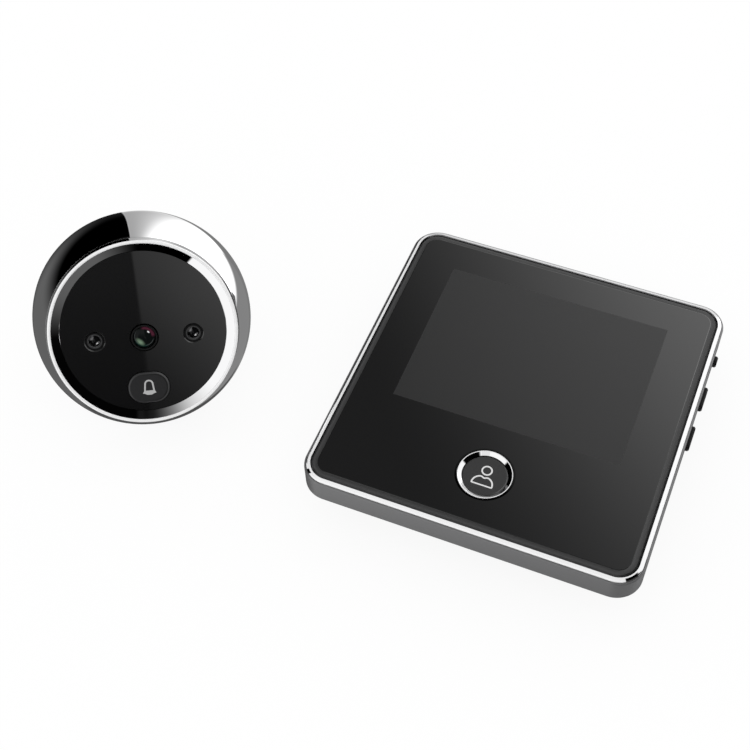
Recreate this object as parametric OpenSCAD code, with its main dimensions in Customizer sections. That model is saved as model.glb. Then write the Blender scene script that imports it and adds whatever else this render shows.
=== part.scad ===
// Peephole door camera: a round outdoor camera and an indoor monitor, lying side by side.
// Millimetres. The origin is the middle of the monitor's back face on the table:
// +X is the monitor's right, +Y its top edge and +Z points up out of its screen.

/* [Monitor] */
// Width of the front panel
panel_w = 85; // [82:0.5:100]
// Height of the front panel
panel_h = 86.5; // [85:0.5:100]
// Corner radius of the front panel
panel_r = 5.3; // [5:0.1:8]
// Thickness of the front panel
panel_t = 1.5; // [1.2:0.1:2.5]
// Width of the band along the panel's edge
panel_bevel_w = 1.7; // [1.2:0.1:2.5]
// Drop of the gentle slope on the band
panel_bevel_h = 0.13; // [0.1:0.01:0.3]
// Width of the steep fall outside that slope
panel_fall_w = 0.6; // [0.3:0.05:0.9]
// Drop of the steep fall
panel_fall_h = 0.5; // [0.3:0.05:0.8]
// How far the case stands out all round the panel
rim_w = 1.7; // [1.4:0.1:3]
// Width of the bright slope on the trim
trim_slope_w = 0.74; // [0.5:0.02:0.9]
// Drop of the bright slope on the trim
trim_slope_h = 0.27; // [0.2:0.01:0.4]
// Height of the trim
trim_h = 1.1; // [1.05:0.05:1.4]
// Visible height of the case side, trim included
side_h = 7.8; // [7.4:0.1:8.2]
// Wall of the frame
frame_wall = 2; // [1.6:0.1:2.4]
// Width of the ledge that carries the panel
ledge_w = 2.3; // [1.8:0.1:3]
// Thickness of that ledge
ledge_t = 1.2; // [0.8:0.1:1.4]
// Step from the frame's inner wall in to the deep part of the back cover
back_inset = 6.2; // [5.5:0.1:7]
// Wall of the back cover
cover_wall = 1.8; // [1.4:0.1:2.2]
// Rim plate of the back cover
cover_plate_t = 1.6; // [1.2:0.1:1.8]
// Chamfer along the edge of the back cover
cover_chamfer = 1; // [0.4:0.1:1.4]

/* [Display] */
// Width of the picture, 3.0 inch at 4:3
screen_w = 60.96; // [56:0.1:62]
// Height of the picture
screen_h = 45.72; // [42:0.1:47]
// Height of the picture's middle above the middle of the panel
screen_y = 9.8; // [9:0.1:10]
// Dark border of the display around the picture
lcd_border = 2.8; // [2:0.1:3]
// Thickness of the display
lcd_t = 2; // [1.8:0.1:2.6]
// Sheet of the display's tray
lcd_sheet = 0.4; // [0.3:0.05:0.5]
// Gasket between display and panel
gasket_t = 0.4; // [0.3:0.05:0.6]
// Width of that gasket
gasket_w = 1.8; // [1:0.1:2]

/* [Main button] */
// Height of the button below the middle of the panel
button_drop = 27.6; // [25.5:0.1:28.5]
// Outer radius of the bright ring
ring_r = 7.05; // [6.9:0.05:7.5]
// Width of the ring's flange in the panel
ring_lip = 0.55; // [0.4:0.05:0.7]
// Depth of the seat in the panel for that flange
ring_seat = 0.4; // [0.3:0.05:0.6]
// Width of the gap round the flange
ring_gap = 0.2; // [0.1:0.05:0.3]
// Width of the ring's top
ring_top = 0.28; // [0.2:0.02:0.4]
// Height of the ring's top above the panel's face
ring_lip_h = 0.06; // [0.02:0.02:0.2]
// Radius of the button cap
cap_r = 5.75; // [5.5:0.05:5.8]
// How far the cap lies below the panel's face
cap_sink = 0.6; // [0.4:0.05:0.7]
// Travel of the button
cap_travel = 0.5; // [0.3:0.05:0.5]

/* [Side buttons] */
// Depth of the buttons' middle below the panel's face
key_drop = 4; // [3.9:0.05:4.2]
// Height of each button
key_h = 2.4; // [2:0.05:2.5]
// Length of the power button
key_short = 2.9; // [2.6:0.1:4]
// Length of the up and down buttons
key_long = 7.2; // [5:0.1:8]
// Distance of the power button's middle from the panel's top edge
power_top = 13.3; // [12.5:0.05:16]
// Distance between the middles of neighbouring side buttons
key_pitch = 13.1; // [11:0.1:13.5]
// How far the buttons stand out of the case
key_out = 0.95; // [0.6:0.05:1.2]
// Travel of the side buttons
key_travel = 0.5; // [0.3:0.05:0.6]

/* [Battery] */
// Diameter of a cell
cell_d = 10.5; // [10:0.1:10.8]
// Length of a cell with its nub
cell_len = 44.5; // [42:0.1:46]
// Number of cells
cell_count = 3; // [2:1:3]
// Room for the contact at each end of a cell
contact_room = 1.6; // [1.4:0.1:2]
// Roof of the battery bay
bay_roof_t = 0.8; // [0.6:0.1:1.2]
// Side and end walls of the battery bay
bay_wall = 1.2; // [0.8:0.1:1.4]
// Thickness of the battery door
door_t = 1.6; // [1.4:0.1:2]
// How far the battery door lies inside the back face
door_recess = 0.3; // [0.2:0.05:0.5]
// How far the door's dovetail edges lean out
dovetail = 1.2; // [0.8:0.1:1.4]

/* [Camera] */
// Radius of the round housing where it meets the door
housing_r = 28.8; // [28.4:0.1:30]
// Wall of the housing
housing_wall = 2.2; // [1.8:0.1:2.4]
// Height at which the housing's front is cut
housing_front = 15; // [14.6:0.1:15.2]
// Outer radius of the front ring
bezel_r = 24.2; // [24:0.05:24.4]
// Height of the front ring's lip above its seat
bezel_h = 1.8; // [1.5:0.05:2.2]
// Width of the front ring's lip
bezel_lip = 0.85; // [0.7:0.05:1.2]
// Rise of the lip's rounded top
bezel_crown = 0.24; // [0.15:0.02:0.4]
// How far the front ring's foot stands out of its lip
bezel_flare = 0.3; // [0.1:0.05:0.35]
// Radius of the black disc
disc_r = 21.2; // [20.9:0.05:21.4]
// Thickness of the black disc
disc_t = 2; // [1.6:0.1:2.4]
// How far the disc's face stands above the front ring's seat
disc_rise = 0.4; // [0.2:0.05:0.6]
// Height of the lens below the middle of the disc
lens_drop = 1.5; // [0.5:0.1:2.5]
// Radius of the lens hole
lens_hole_r = 3.5; // [3.3:0.05:3.8]
// Radius of the front lens
lens_r = 2.75; // [2.5:0.05:2.9]
// Distance of each lamp from the lens
led_x = 12.6; // [11.5:0.1:13]
// Radius of a lamp's hole
led_hole_r = 2.45; // [2.3:0.05:2.7]
// Radius of a lamp
led_r = 1.5; // [1.3:0.05:1.6]
// Height of the bell button below the middle of the disc
bell_drop = 15; // [14.5:0.1:15.2]
// Width of the bell button
bell_w = 10.6; // [9.5:0.1:10.8]
// Height of the bell button
bell_h = 8.3; // [7.5:0.1:8.4]
// How far the bell button stands above the disc
bell_out = 0.5; // [0.2:0.05:0.8]
// Travel of the bell button
bell_travel = 0.6; // [0.3:0.05:0.8]

/* [Door fixing] */
// Radius of the tube that goes through the door
barrel_r = 7; // [6.6:0.1:7.5]
// Bore of that tube, for the flat cable
barrel_bore_r = 4.75; // [4.3:0.05:5]
// Length of that tube behind the housing
barrel_len = 30.4; // [26:0.1:50]
// Chamfer on the end of that tube
barrel_chamfer = 0.4; // [0.2:0.1:0.8]
// Step of the tube's shoulder in the seal and the back plate
barrel_shoulder = 0.5; // [0.3:0.05:1]
// Radius of the tube's inner flange
barrel_flange_r = 10.5; // [9.5:0.1:10.7]
// Thickness of that flange
barrel_flange_t = 2; // [1.5:0.1:2.4]
// Thickness of the rubber seal against the door
seal_t = 1.2; // [0.8:0.1:2]
// Outer radius of that seal
seal_r = 25.5; // [22:0.1:26]

/* [Places] */
// Where the camera lies, along the monitor's width
cam_x = -101; // [-130:0.5:-100]
// Where the camera lies, along the monitor's height
cam_y = -17.2; // [-40:0.1:20]
// Turn of the camera about the upright axis
cam_turn = 36; // [0:1:60]
// Roll of the camera about its own axis
cam_roll = -7; // [-20:1:20]

/* [Hidden] */
$fn = 96;

// Clearances: fixed pieces that slip together, and pieces that run
fit = 0.1;
run = 0.15;
// Overshoot of a cut past the face that it opens
over = 1;

// Small screws, used in both units
screw_r = 1;
screw_fit = 0.05;
screw_head_r = 1.9;
screw_head_h = 1;

// Monitor levels, from the table up
door_top = door_recess + door_t;
rail_t = 0.75;
floor_t = door_top + run + rail_t;
cell_clear = 0.2;
cell_z = door_top + cell_clear + cell_d / 2;
roof_z = cell_z + cell_d / 2 + cell_clear;
roof_top = roof_z + bay_roof_t;
tray_z = roof_top + fit;
lcd_z = tray_z + lcd_sheet;
gasket_z = lcd_z + lcd_t;
panel_z = gasket_z + gasket_t;
monitor_t = panel_z + panel_t;
case_z = monitor_t - side_h;
trim_z = monitor_t - trim_h;
cover_top = case_z + cover_plate_t;
board_t = 1.2;
board_top = cover_top + board_t;

// Outlines of the monitor, as offsets from the panel's edge
wall_in = rim_w - frame_wall;
cover_edge = wall_in - fit;
back_edge = wall_in - back_inset;
back_w = panel_w + 2 * back_edge;
back_h = panel_h + 2 * back_edge;
back_r = 6;

// Bright trim: a slope that ends in a rounded nose, let into the frame's shoulder
trim_nose_r = 0.45;
trim_lean = atan2(trim_slope_w, trim_slope_h);
nose_x = fit + trim_slope_w - trim_nose_r * cos(trim_lean);
nose_z = monitor_t - trim_slope_h - trim_nose_r * sin(trim_lean);
trim_out = nose_x + trim_nose_r;
shoulder_x = trim_out + fit;
frame_round = rim_w - shoulder_x;
frame_chamfer = 0.3;

// Frame bosses stand at the centres of the case's corner arcs
boss_r = panel_r - ledge_w + 0.25;
boss_x = panel_w / 2 - panel_r;
boss_y = panel_h / 2 - panel_r;
boss_bite = 3.7;

// Battery bay, against the lower wall of the back cover
cell_gap = 0.4;
bay_side = 0.3;
bay_len = cell_len + 2 * contact_room;
bay_w = cell_count * cell_d + (cell_count - 1) * cell_gap + 2 * bay_side;
bay_y0 = -back_h / 2 + cover_wall;
bay_y1 = bay_y0 + bay_w;
bay_top_y = bay_y1 + bay_wall;
door_lap = 0.6;
door_end = bay_y1 + door_lap;
contact_sheet = 0.4;
contact_side = 8;
nub_r = 1.9;
nub_h = 1;

// Display
lcd_w = screen_w + 2 * lcd_border;
lcd_h = screen_h + 2 * lcd_border;
tray_wall_h = 1.5;
tray_w = lcd_w + 2 * (lcd_sheet + fit);
tray_h = lcd_h + 2 * (lcd_sheet + fit);

// Main button stack, between the bay's roof and the panel
ring_sleeve_r = ring_r - ring_lip;
cap_flange_r = cap_r + 0.7;
cap_flange_t = 0.6;
cap_flange_z = panel_z - run - cap_flange_t;
button_board_t = 0.7;
button_board_w = 24;
button_board_h = 11;
main_switch_side = 5;
main_switch_z = roof_top + button_board_t;
main_switch_h = 0.8;
main_plunger_r = 1;
main_plunger_z = main_switch_z + cap_travel + fit;

// Side buttons
key_r = 0.9;
key_bevel = 0.35;
key_z = monitor_t - key_drop;
case_x = panel_w / 2 + rim_w;
wall_x = panel_w / 2 + wall_in;
key_ear_t = 0.8;
key_ear_y = 0.8;
key_ear_x = wall_x - run - key_ear_t;
key_stop = 0.3;
board_x = key_ear_x - key_travel - key_stop;
tray_clear = 0.2;
switch_depth = board_x - tray_w / 2 - tray_clear;
switch_over = 1.2;
switch_wider = 1.5;
key_plunger_r = 0.7;
key_plunger_in = 1.3;
power_y = panel_h / 2 - power_top;
up_y = power_y - key_pitch;
down_y = up_y - key_pitch;
KEYS = [[power_y, key_short], [up_y, key_long], [down_y, key_long]];

// Main board, beside the bay, with a strip that reaches the lowest side switch
board_clear = 0.5;
board_over = 3.45;
board_y0 = bay_top_y + board_clear;
board_y1 = power_y + board_over;
strip_x = bay_len / 2 + bay_wall + board_clear;
strip_y = down_y - key_short / 2 - switch_wider - board_clear;
chip_t = 1.2;
chip_edge = 4.4;
chip_big = 14;
chip_mid_w = 10;
chip_mid_d = 6;
chip_small_w = 8;
chip_small_d = 5;

// Bracket slots, speaker and the cable's way in
hook_in = 16;
hook_top = 6;
hook_x = back_w / 2 - hook_in;
hook_y = back_h / 2 - hook_top;
hook_w = 11;
hook_d = 5.4;
speaker_in = 14;
speaker_x = speaker_in - back_w / 2;
speaker_y = (bay_top_y + hook_y - hook_d / 2) / 2;
speaker_r = 9.5;
speaker_h = 3.5;
speaker_edge_h = 1.2;
speaker_wall = 0.7;
magnet_r = 6;
magnet_h = 1.7;
magnet_step = 0.6;
cone_dome_r = 3.5;
cone_dome_h = 0.7;
cone_h = 1.2;
cone_rim = 1.2;
cone_sheet = 0.4;
grille_r = 7.5;
grille_t = 1;
grille_z = 0.4;
grille_step = 0.9;
grille_hole_r = 0.6;
grille_pitch = 2.6;
speaker_rib = 1;
speaker_rib_h = 2;
socket_y = 10;
socket_w = 14;
socket_d = 5;
socket_h = 2.5;
inlet_w = 16;
inlet_d = 8;

// Camera levels along its own axis, from the door side forward
plate_t = 2;
plate_r = housing_r - housing_wall - 0.3;
disc_face = housing_front + disc_rise;
disc_back = disc_face - disc_t;
bezel_face = housing_front + bezel_h;
crown_r = (pow(bezel_lip / 2, 2) + pow(bezel_crown, 2)) / (2 * bezel_crown);
crown_half = asin(bezel_lip / 2 / crown_r);
bezel_ledge_t = 1;
bezel_ledge_w = 1.4;
bezel_wall = 1.1;
spigot_r = disc_r + fit + bezel_wall;
cam_board_z = plate_t + barrel_flange_t + 1.6;
cam_board_t = 1.4;
cam_board_top = cam_board_z + cam_board_t;
cam_board_r = 19;
post_r = 2.2;
post_at = 16.5;
house_boss_r = 2.6;
house_boss_at = housing_r - housing_wall - 3;
house_boss_top = cam_board_top + 3;
bell_z = disc_back - run - 0.8;
bell_ear = 0.9;
bell_ear_h = 6;
bell_bevel = 0.3;
hole_chamfer = 0.25;
bell_r = bell_h / 2 - 0.2;
bell_switch_side = 6;
bell_switch_h = 3.5;
bell_plunger_r = 1.6;
bell_plunger_in = 1.1;
holder_side = 13;
holder_h = 4;
holder_wall = 1.4;
sensor_side = 7;
sensor_h = 0.9;
lens_barrel_r = lens_hole_r - 0.15;
lens_front = disc_face + 0.3;
lens_seat_z = lens_front - 1.2;
lens_bulge = 0.7;
sleeve_flange_r = led_hole_r + 0.7;
sleeve_flange_t = 0.8;
led_foot_r = led_r + 0.4;
led_foot_h = 1;
led_front = disc_face - 0.5;
connector_w = 12;
connector_d = 2.4;
connector_h = 1.8;
seal_in = 0.3;
shoulder_r = barrel_r + barrel_shoulder;

// The camera lies on its rear edge and on the end of its tube, which sets its tilt
cam_tilt = atan((housing_r - barrel_r) / (barrel_len - barrel_chamfer));

module on_camera() {
    translate([cam_x, cam_y, housing_r * cos(cam_tilt)])
        rotate([0, 0, cam_turn])
            rotate([90 - cam_tilt, 0, 0])
                rotate([0, 0, cam_roll])
                    children();
}

// Carries a profile (x outwards from the edge, y upwards) round a rounded rectangle
module rim(w, h, r) {
    for (i = [0:3]) {
        reach = (i % 2 == 0 ? w : h) / 2;
        run_len = (i % 2 == 0 ? h : w) - 2 * r;
        rotate([0, 0, 90 * i]) {
            translate([reach, run_len / 2, 0])
                rotate([90, 0, 0])
                    linear_extrude(run_len)
                        children();
            translate([reach - r, run_len / 2, 0])
                rotate_extrude(angle = 90)
                    translate([r, 0])
                        children();
        }
    }
}

// Rounded rectangular plate from z0 to z1, with sloped edges below and above.
// The rim stops short of the corner arcs' centres, and the middle block laps those.
module slab(w, h, r, z0, z1, low = [0, 0], high = [0, 0]) {
    lap = r / 4;
    rim(w, h, r)
        polygon([
            [lap - r, z0], [-low[0], z0], [0, z0 + low[1]],
            [0, z1 - high[1]], [-high[0], z1], [lap - r, z1]
        ]);
    block(w - 2 * (r - lap), h - 2 * (r - lap), z0, z1);
}

// Block centred on x and y
module block(w, d, z0, z1) {
    translate([-w / 2, -d / 2, z0])
        cube([w, d, z1 - z0]);
}

module rod(r, z0, z1) {
    translate([0, 0, z0])
        cylinder(r = r, h = z1 - z0);
}

// Points of an arc from angle a0 to a1 about c
function arc(c, r, a0, a1, steps = 5) = [
    for (i = [0:steps]) let (a = a0 + (a1 - a0) * i / steps) c + r * [cos(a), sin(a)]
];

// Pan-head screw: head below z = 0, thread above
module screw(length) {
    rotate_extrude()
        polygon([
            [0, -screw_head_h], [screw_head_r - 0.5, -screw_head_h],
            [screw_head_r, -screw_head_h + 0.5], [screw_head_r, 0],
            [screw_r, 0], [screw_r, length - 0.5], [screw_r - 0.5, length], [0, length]
        ]);
}

// Three places round the camera's axis
module thirds(at, first) {
    for (a = [0, 120, 240])
        rotate([0, 0, first + a])
            translate([at, 0, 0])
                children();
}

// Four places at the case's corners
module corners() {
    for (sx = [-1, 1], sy = [-1, 1])
        translate([sx * boss_x, sy * boss_y, 0])
            children();
}

// Camera

module camera_housing() {
    color("silver") on_camera() difference() {
        union() {
            difference() {
                intersection() {
                    sphere(r = housing_r);
                    rod(housing_r + over, 0, housing_front);
                }
                sphere(r = housing_r - housing_wall);
            }
            intersection() {
                thirds(house_boss_at, 30)
                    rod(house_boss_r, plate_t, house_boss_top);
                sphere(r = housing_r - housing_wall / 2);
            }
        }
        rod(spigot_r + fit, housing_front / 2, housing_front + over);
        thirds(house_boss_at, 30)
            rod(screw_r + screw_fit, plate_t - over, house_boss_top - 1.5);
    }
}

module front_ring() {
    bore = disc_r + fit;
    ledge_z = disc_back - bezel_ledge_t;
    color("gainsboro") on_camera() rotate_extrude()
        polygon(concat(
            [[bore - bezel_ledge_w, ledge_z], [spigot_r, ledge_z], [spigot_r, housing_front],
             [bezel_r + bezel_flare, housing_front]],
            arc([bezel_r - bezel_lip / 2, bezel_face - crown_r], crown_r,
                90 - crown_half, 90 + crown_half),
            [[bore, disc_face + fit], [bore, disc_back], [bore - bezel_ledge_w, disc_back]]
        ));
}

module bell_outline(grow, z0, z1, high = [0, 0]) {
    translate([0, -bell_drop, 0])
        slab(bell_w + 2 * grow, bell_h + 2 * grow, bell_r + grow, z0, z1, high = high);
}

// Cut through the disc, wider at its face
module disc_hole(r) {
    rod(r, disc_back - over, disc_face + over);
    translate([0, 0, disc_face - hole_chamfer])
        cylinder(r1 = r, r2 = r + 2 * hole_chamfer, h = 2 * hole_chamfer);
}

module camera_panel() {
    color("black") on_camera() difference() {
        rod(disc_r, disc_back, disc_face);
        translate([0, -lens_drop, 0])
            disc_hole(lens_hole_r);
        for (s = [-1, 1])
            translate([s * led_x, -lens_drop, 0])
                disc_hole(led_hole_r);
        bell_outline(run, disc_back - over, disc_face + over);
    }
}

module lens_barrel() {
    base_z = cam_board_top + holder_h - 2.5;
    color("dimgray") on_camera() translate([0, -lens_drop, 0]) rotate_extrude()
        polygon([
            [1.6, base_z], [lens_barrel_r, base_z], [lens_barrel_r, lens_front],
            [lens_r + 0.25, lens_front], [lens_r + fit, lens_front - 0.4],
            [lens_r + fit, lens_seat_z], [1.6, lens_seat_z]
        ]);
}

module lens_glass() {
    // Radius of the cap whose rise over the lens is lens_bulge
    cap = (lens_r * lens_r + lens_bulge * lens_bulge) / (2 * lens_bulge);
    edge = 0.4;
    color("midnightblue") on_camera() translate([0, -lens_drop, lens_seat_z]) {
        rod(lens_r, 0, edge);
        translate([0, 0, edge]) intersection() {
            translate([0, 0, lens_bulge - cap])
                sphere(r = cap);
            rod(lens_r, 0, lens_bulge + over);
        }
    }
}

module lens_holder() {
    inner = holder_side - 2 * holder_wall;
    color("dimgray") on_camera() translate([0, -lens_drop, 0]) difference() {
        block(holder_side, holder_side, cam_board_top, cam_board_top + holder_h);
        block(inner, inner, cam_board_top - over, cam_board_top + holder_h - 2.5);
        rod(lens_barrel_r + screw_fit, cam_board_top, cam_board_top + holder_h + over);
    }
}

module image_sensor() {
    color("darkslategray") on_camera() translate([0, -lens_drop, 0])
        block(sensor_side, sensor_side, cam_board_top, cam_board_top + sensor_h);
}

module ir_led(side) {
    color("indigo") on_camera() translate([side * led_x, -lens_drop, 0]) {
        rod(led_foot_r, cam_board_top, cam_board_top + led_foot_h);
        rod(led_r, cam_board_top, led_front - led_r);
        translate([0, 0, led_front - led_r]) intersection() {
            sphere(r = led_r);
            rod(led_r + over, 0, led_r + over);
        }
    }
}

module ir_led_left() {
    ir_led(-1);
}

module ir_led_right() {
    ir_led(1);
}

module led_sleeves() {
    outer = led_hole_r - fit;
    color("black") on_camera() for (s = [-1, 1])
        translate([s * led_x, -lens_drop, 0]) difference() {
            union() {
                rod(outer, disc_back - sleeve_flange_t, disc_face - 0.2);
                rod(sleeve_flange_r, disc_back - sleeve_flange_t, disc_back);
            }
            rod(led_r + fit, disc_back - 2 * over, disc_face + over);
        }
}

module bell_button() {
    color("black") on_camera() {
        bell_outline(0, bell_z, disc_face + bell_out, [1.2 * bell_bevel, bell_bevel]);
        translate([0, -bell_drop, 0])
            block(bell_w + 2 * bell_ear, bell_ear_h, bell_z, disc_back - run);
    }
}

module bell_plunger() {
    top = cam_board_top + bell_switch_h;
    color("ivory") on_camera() translate([0, -bell_drop, 0])
        rod(bell_plunger_r, top - bell_plunger_in, bell_z);
}

module bell_switch() {
    top = cam_board_top + bell_switch_h;
    color("dimgray") on_camera() translate([0, -bell_drop, 0]) difference() {
        block(bell_switch_side, bell_switch_side, cam_board_top, top);
        rod(bell_plunger_r + run, top - bell_plunger_in - bell_travel - 0.2, top + over);
    }
}

module camera_board() {
    color("darkgreen") on_camera() difference() {
        rod(cam_board_r, cam_board_z, cam_board_top);
        thirds(post_at, 90)
            rod(screw_r + screw_fit, cam_board_z - over, cam_board_top + over);
    }
}

module board_screws() {
    color("lightgray") on_camera() thirds(post_at, 90)
        translate([0, 0, cam_board_top])
            mirror([0, 0, 1])
                screw(cam_board_top - plate_t - 0.3);
}

module camera_connector() {
    color("ivory") on_camera() translate([0, barrel_flange_r + 0.4 + connector_d / 2, 0]) difference() {
        block(connector_w, connector_d, cam_board_z - connector_h, cam_board_z);
        block(connector_w - 2, connector_d - 1.4, cam_board_z - connector_h - over, cam_board_z - 0.6);
    }
}

module camera_back_plate() {
    color("dimgray") on_camera() difference() {
        union() {
            rod(plate_r, 0, plate_t);
            thirds(post_at, 90)
                rod(post_r, 0, cam_board_z);
        }
        rod(shoulder_r + fit, -over, plate_t + over);
        thirds(post_at, 90)
            rod(screw_r + screw_fit, plate_t, cam_board_z + over);
        thirds(house_boss_at, 30) {
            rod(screw_r + fit, -over, plate_t + over);
            rod(screw_head_r + fit, -over, screw_head_h);
        }
    }
}

module back_plate_screws() {
    color("lightgray") on_camera() thirds(house_boss_at, 30)
        translate([0, 0, screw_head_h])
            screw(house_boss_top - screw_head_h - 2);
}

module door_barrel() {
    color("silver") on_camera() rotate_extrude()
        polygon([
            [barrel_bore_r, -barrel_len], [barrel_r - barrel_chamfer, -barrel_len],
            [barrel_r, -barrel_len + barrel_chamfer], [barrel_r, -seal_t],
            [shoulder_r, -seal_t], [shoulder_r, plate_t],
            [barrel_flange_r, plate_t], [barrel_flange_r, plate_t + barrel_flange_t],
            [barrel_bore_r, plate_t + barrel_flange_t]
        ]);
}

module door_seal() {
    color("dimgray") on_camera() difference() {
        rod(seal_r, -seal_t, 0);
        rod(shoulder_r + seal_in, -seal_t - over, over);
    }
}

// Monitor

module monitor_panel() {
    inset = 0.75 * panel_r;
    edge_z = monitor_t - panel_bevel_h;
    color("black") difference() {
        union() {
            rim(panel_w, panel_h, panel_r)
                polygon([
                    [-inset, panel_z], [0, panel_z], [0, edge_z - panel_fall_h],
                    [-panel_fall_w, edge_z], [-panel_bevel_w, monitor_t], [-inset, monitor_t]
                ]);
            block(panel_w - 2 * inset, panel_h - 2 * inset, panel_z, monitor_t);
        }
        translate([0, -button_drop, 0]) {
            rod(ring_sleeve_r + fit, panel_z - over, monitor_t + over);
            rod(ring_r + ring_gap, monitor_t - ring_seat, monitor_t + over);
        }
    }
}

module front_trim() {
    color("gainsboro") rim(panel_w, panel_h, panel_r)
        polygon(concat(
            [[fit, trim_z], [trim_out, trim_z]],
            arc([nose_x, nose_z], trim_nose_r, 0, trim_lean, 4),
            [[fit, monitor_t]]
        ));
}

module frame_profile() {
    polygon(concat(
        [[wall_in, case_z], [rim_w - frame_chamfer, case_z], [rim_w, case_z + frame_chamfer]],
        arc([shoulder_x, nose_z - frame_round], frame_round, 0, 90),
        [[shoulder_x, trim_z], [fit, trim_z], [fit, panel_z], [-ledge_w, panel_z],
         [-ledge_w, panel_z - ledge_t], [wall_in, panel_z - ledge_t]]
    ));
}

module key_bar(key, grow, x0, x1, bevel = [0, 0]) {
    translate([0, key[0], key_z])
        rotate([90, 0, 90])
            slab(key[1] + 2 * grow, key_h + 2 * grow, key_r + grow, x0, x1, high = bevel);
}

module monitor_frame() {
    color("gray") difference() {
        union() {
            rim(panel_w, panel_h, panel_r)
                frame_profile();
            corners()
                rod(boss_r, cover_top, panel_z);
        }
        corners()
            rod(screw_r + screw_fit, cover_top - over, cover_top + boss_bite);
        for (key = KEYS)
            key_bar(key, run, wall_x - over, case_x + over);
    }
}

// Solid with the outer form of the back cover's deep part
module back_form(top) {
    slab(back_w, back_h, back_r, 0, top, low = [cover_chamfer, cover_chamfer]);
}

// Bar with leaning sides, from y0 to y1, wider at the top
module dovetail_bar(grow, y0, y1, z0, z1) {
    half = bay_len / 2 + door_lap + grow;
    lean = dovetail / door_t;
    translate([0, y1, 0])
        rotate([90, 0, 0])
            linear_extrude(y1 - y0)
                polygon([
                    [-half - lean * (z0 - door_recess), z0], [half + lean * (z0 - door_recess), z0],
                    [half + lean * (z1 - door_recess), z1], [-half - lean * (z1 - door_recess), z1]
                ]);
}

module bay(grow, z0, z1) {
    translate([0, (bay_y0 + bay_y1) / 2, 0])
        block(bay_len + 2 * grow, bay_w + 2 * grow, z0, z1);
}

module back_cover() {
    inner_r = back_r - cover_wall;
    color("dimgray") difference() {
        union() {
            difference() {
                union() {
                    back_form(cover_top);
                    slab(
                        panel_w + 2 * cover_edge, panel_h + 2 * cover_edge, panel_r + cover_edge,
                        case_z, cover_top
                    );
                }
                slab(
                    back_w - 2 * cover_wall, back_h - 2 * cover_wall, inner_r,
                    floor_t, cover_top + over
                );
            }
            bay(bay_wall, floor_t / 2, roof_top);
            translate([speaker_x, speaker_y, 0])
                rod(speaker_r + fit + speaker_rib, floor_t / 2, floor_t + speaker_rib_h);
        }
        bay(0, -over, roof_z);
        dovetail_bar(run, -back_h / 2 - over, door_end + run, -over, door_top + run);
        translate([speaker_x, speaker_y, 0]) {
            rod(speaker_r + fit, floor_t, floor_t + speaker_rib_h + over);
            rod(grille_r - grille_step, -over, floor_t + over);
            rod(grille_r + fit, -over, grille_z + grille_t);
        }
        translate([0, socket_y, 0])
            block(inlet_w, inlet_d, -over, floor_t + over);
        for (s = [-1, 1])
            translate([s * hook_x, hook_y, 0])
                block(hook_w, hook_d, -over, floor_t + over);
        corners()
            rod(screw_r + fit, case_z - over, cover_top + over);
    }
}

module battery_door() {
    grip_w = 14;
    grip_pitch = 1.6;
    grip_depth = 0.4;
    color("dimgray") difference() {
        intersection() {
            dovetail_bar(0, -back_h / 2, door_end, door_recess, door_top);
            back_form(floor_t);
        }
        for (i = [0:4])
            translate([0, bay_y0 + 3 + grip_pitch * i, 0])
                block(grip_w, grip_pitch / 2, -over, door_recess + grip_depth);
    }
}

function cell_y(i) = bay_y0 + bay_side + cell_d / 2 + i * (cell_d + cell_gap);

module batteries() {
    color("goldenrod") for (i = [0:cell_count - 1])
        translate([0, cell_y(i), cell_z])
            rotate([0, i % 2 == 0 ? 90 : -90, 0]) {
                rod(cell_d / 2, -cell_len / 2, cell_len / 2 - nub_h);
                rod(nub_r, cell_len / 2 - nub_h - over, cell_len / 2);
            }
}

module battery_contacts() {
    color("gold") for (i = [0:cell_count - 1], s = [-1, 1])
        translate([s * bay_len / 2, cell_y(i), cell_z])
            rotate([0, -90 * s, 0]) {
                block(contact_side, contact_side, 0, contact_sheet);
                translate([0, 0, contact_sheet / 2])
                    cylinder(r1 = 3, r2 = 1.8, h = contact_room - contact_sheet / 2 - fit);
            }
}

module lcd_module() {
    color("black") translate([0, screen_y, 0])
        block(lcd_w, lcd_h, lcd_z, gasket_z);
}

module lcd_frame() {
    color("silver") translate([0, screen_y, 0]) difference() {
        block(tray_w, tray_h, tray_z, lcd_z + tray_wall_h);
        block(lcd_w + 2 * fit, lcd_h + 2 * fit, lcd_z, gasket_z + over);
    }
}

module lcd_gasket() {
    color("black") translate([0, screen_y, 0]) difference() {
        block(lcd_w, lcd_h, gasket_z, panel_z);
        block(lcd_w - 2 * gasket_w, lcd_h - 2 * gasket_w, gasket_z - over, panel_z + over);
    }
}

module lcd_pads() {
    pad_w = 6;
    pad_len = 24;
    color("black") for (s = [-1, 1])
        translate([s * (tray_w / 2 - pad_w), (board_y0 + board_y1) / 2, 0])
            block(pad_w, pad_len, board_top, tray_z);
}

module main_board() {
    color("darkgreen") {
        translate([0, (board_y0 + board_y1) / 2, 0])
            block(2 * board_x, board_y1 - board_y0, cover_top, board_top);
        translate([(strip_x + board_x) / 2, (strip_y + board_y1) / 2, 0])
            block(board_x - strip_x, board_y1 - strip_y, cover_top, board_top);
    }
}

module main_chips() {
    color("black") {
        translate([board_x / 2, board_y1 - chip_edge - chip_big / 2, 0])
            block(chip_big, chip_big, cover_top - chip_t, cover_top);
        translate([board_x / 2, board_y0 + chip_edge + chip_mid_d / 2, 0])
            block(chip_mid_w, chip_mid_d, cover_top - chip_t, cover_top);
        translate([0, board_y1 - chip_edge - chip_small_d / 2, 0])
            block(chip_small_w, chip_small_d, cover_top - chip_t, cover_top);
    }
}

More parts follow.
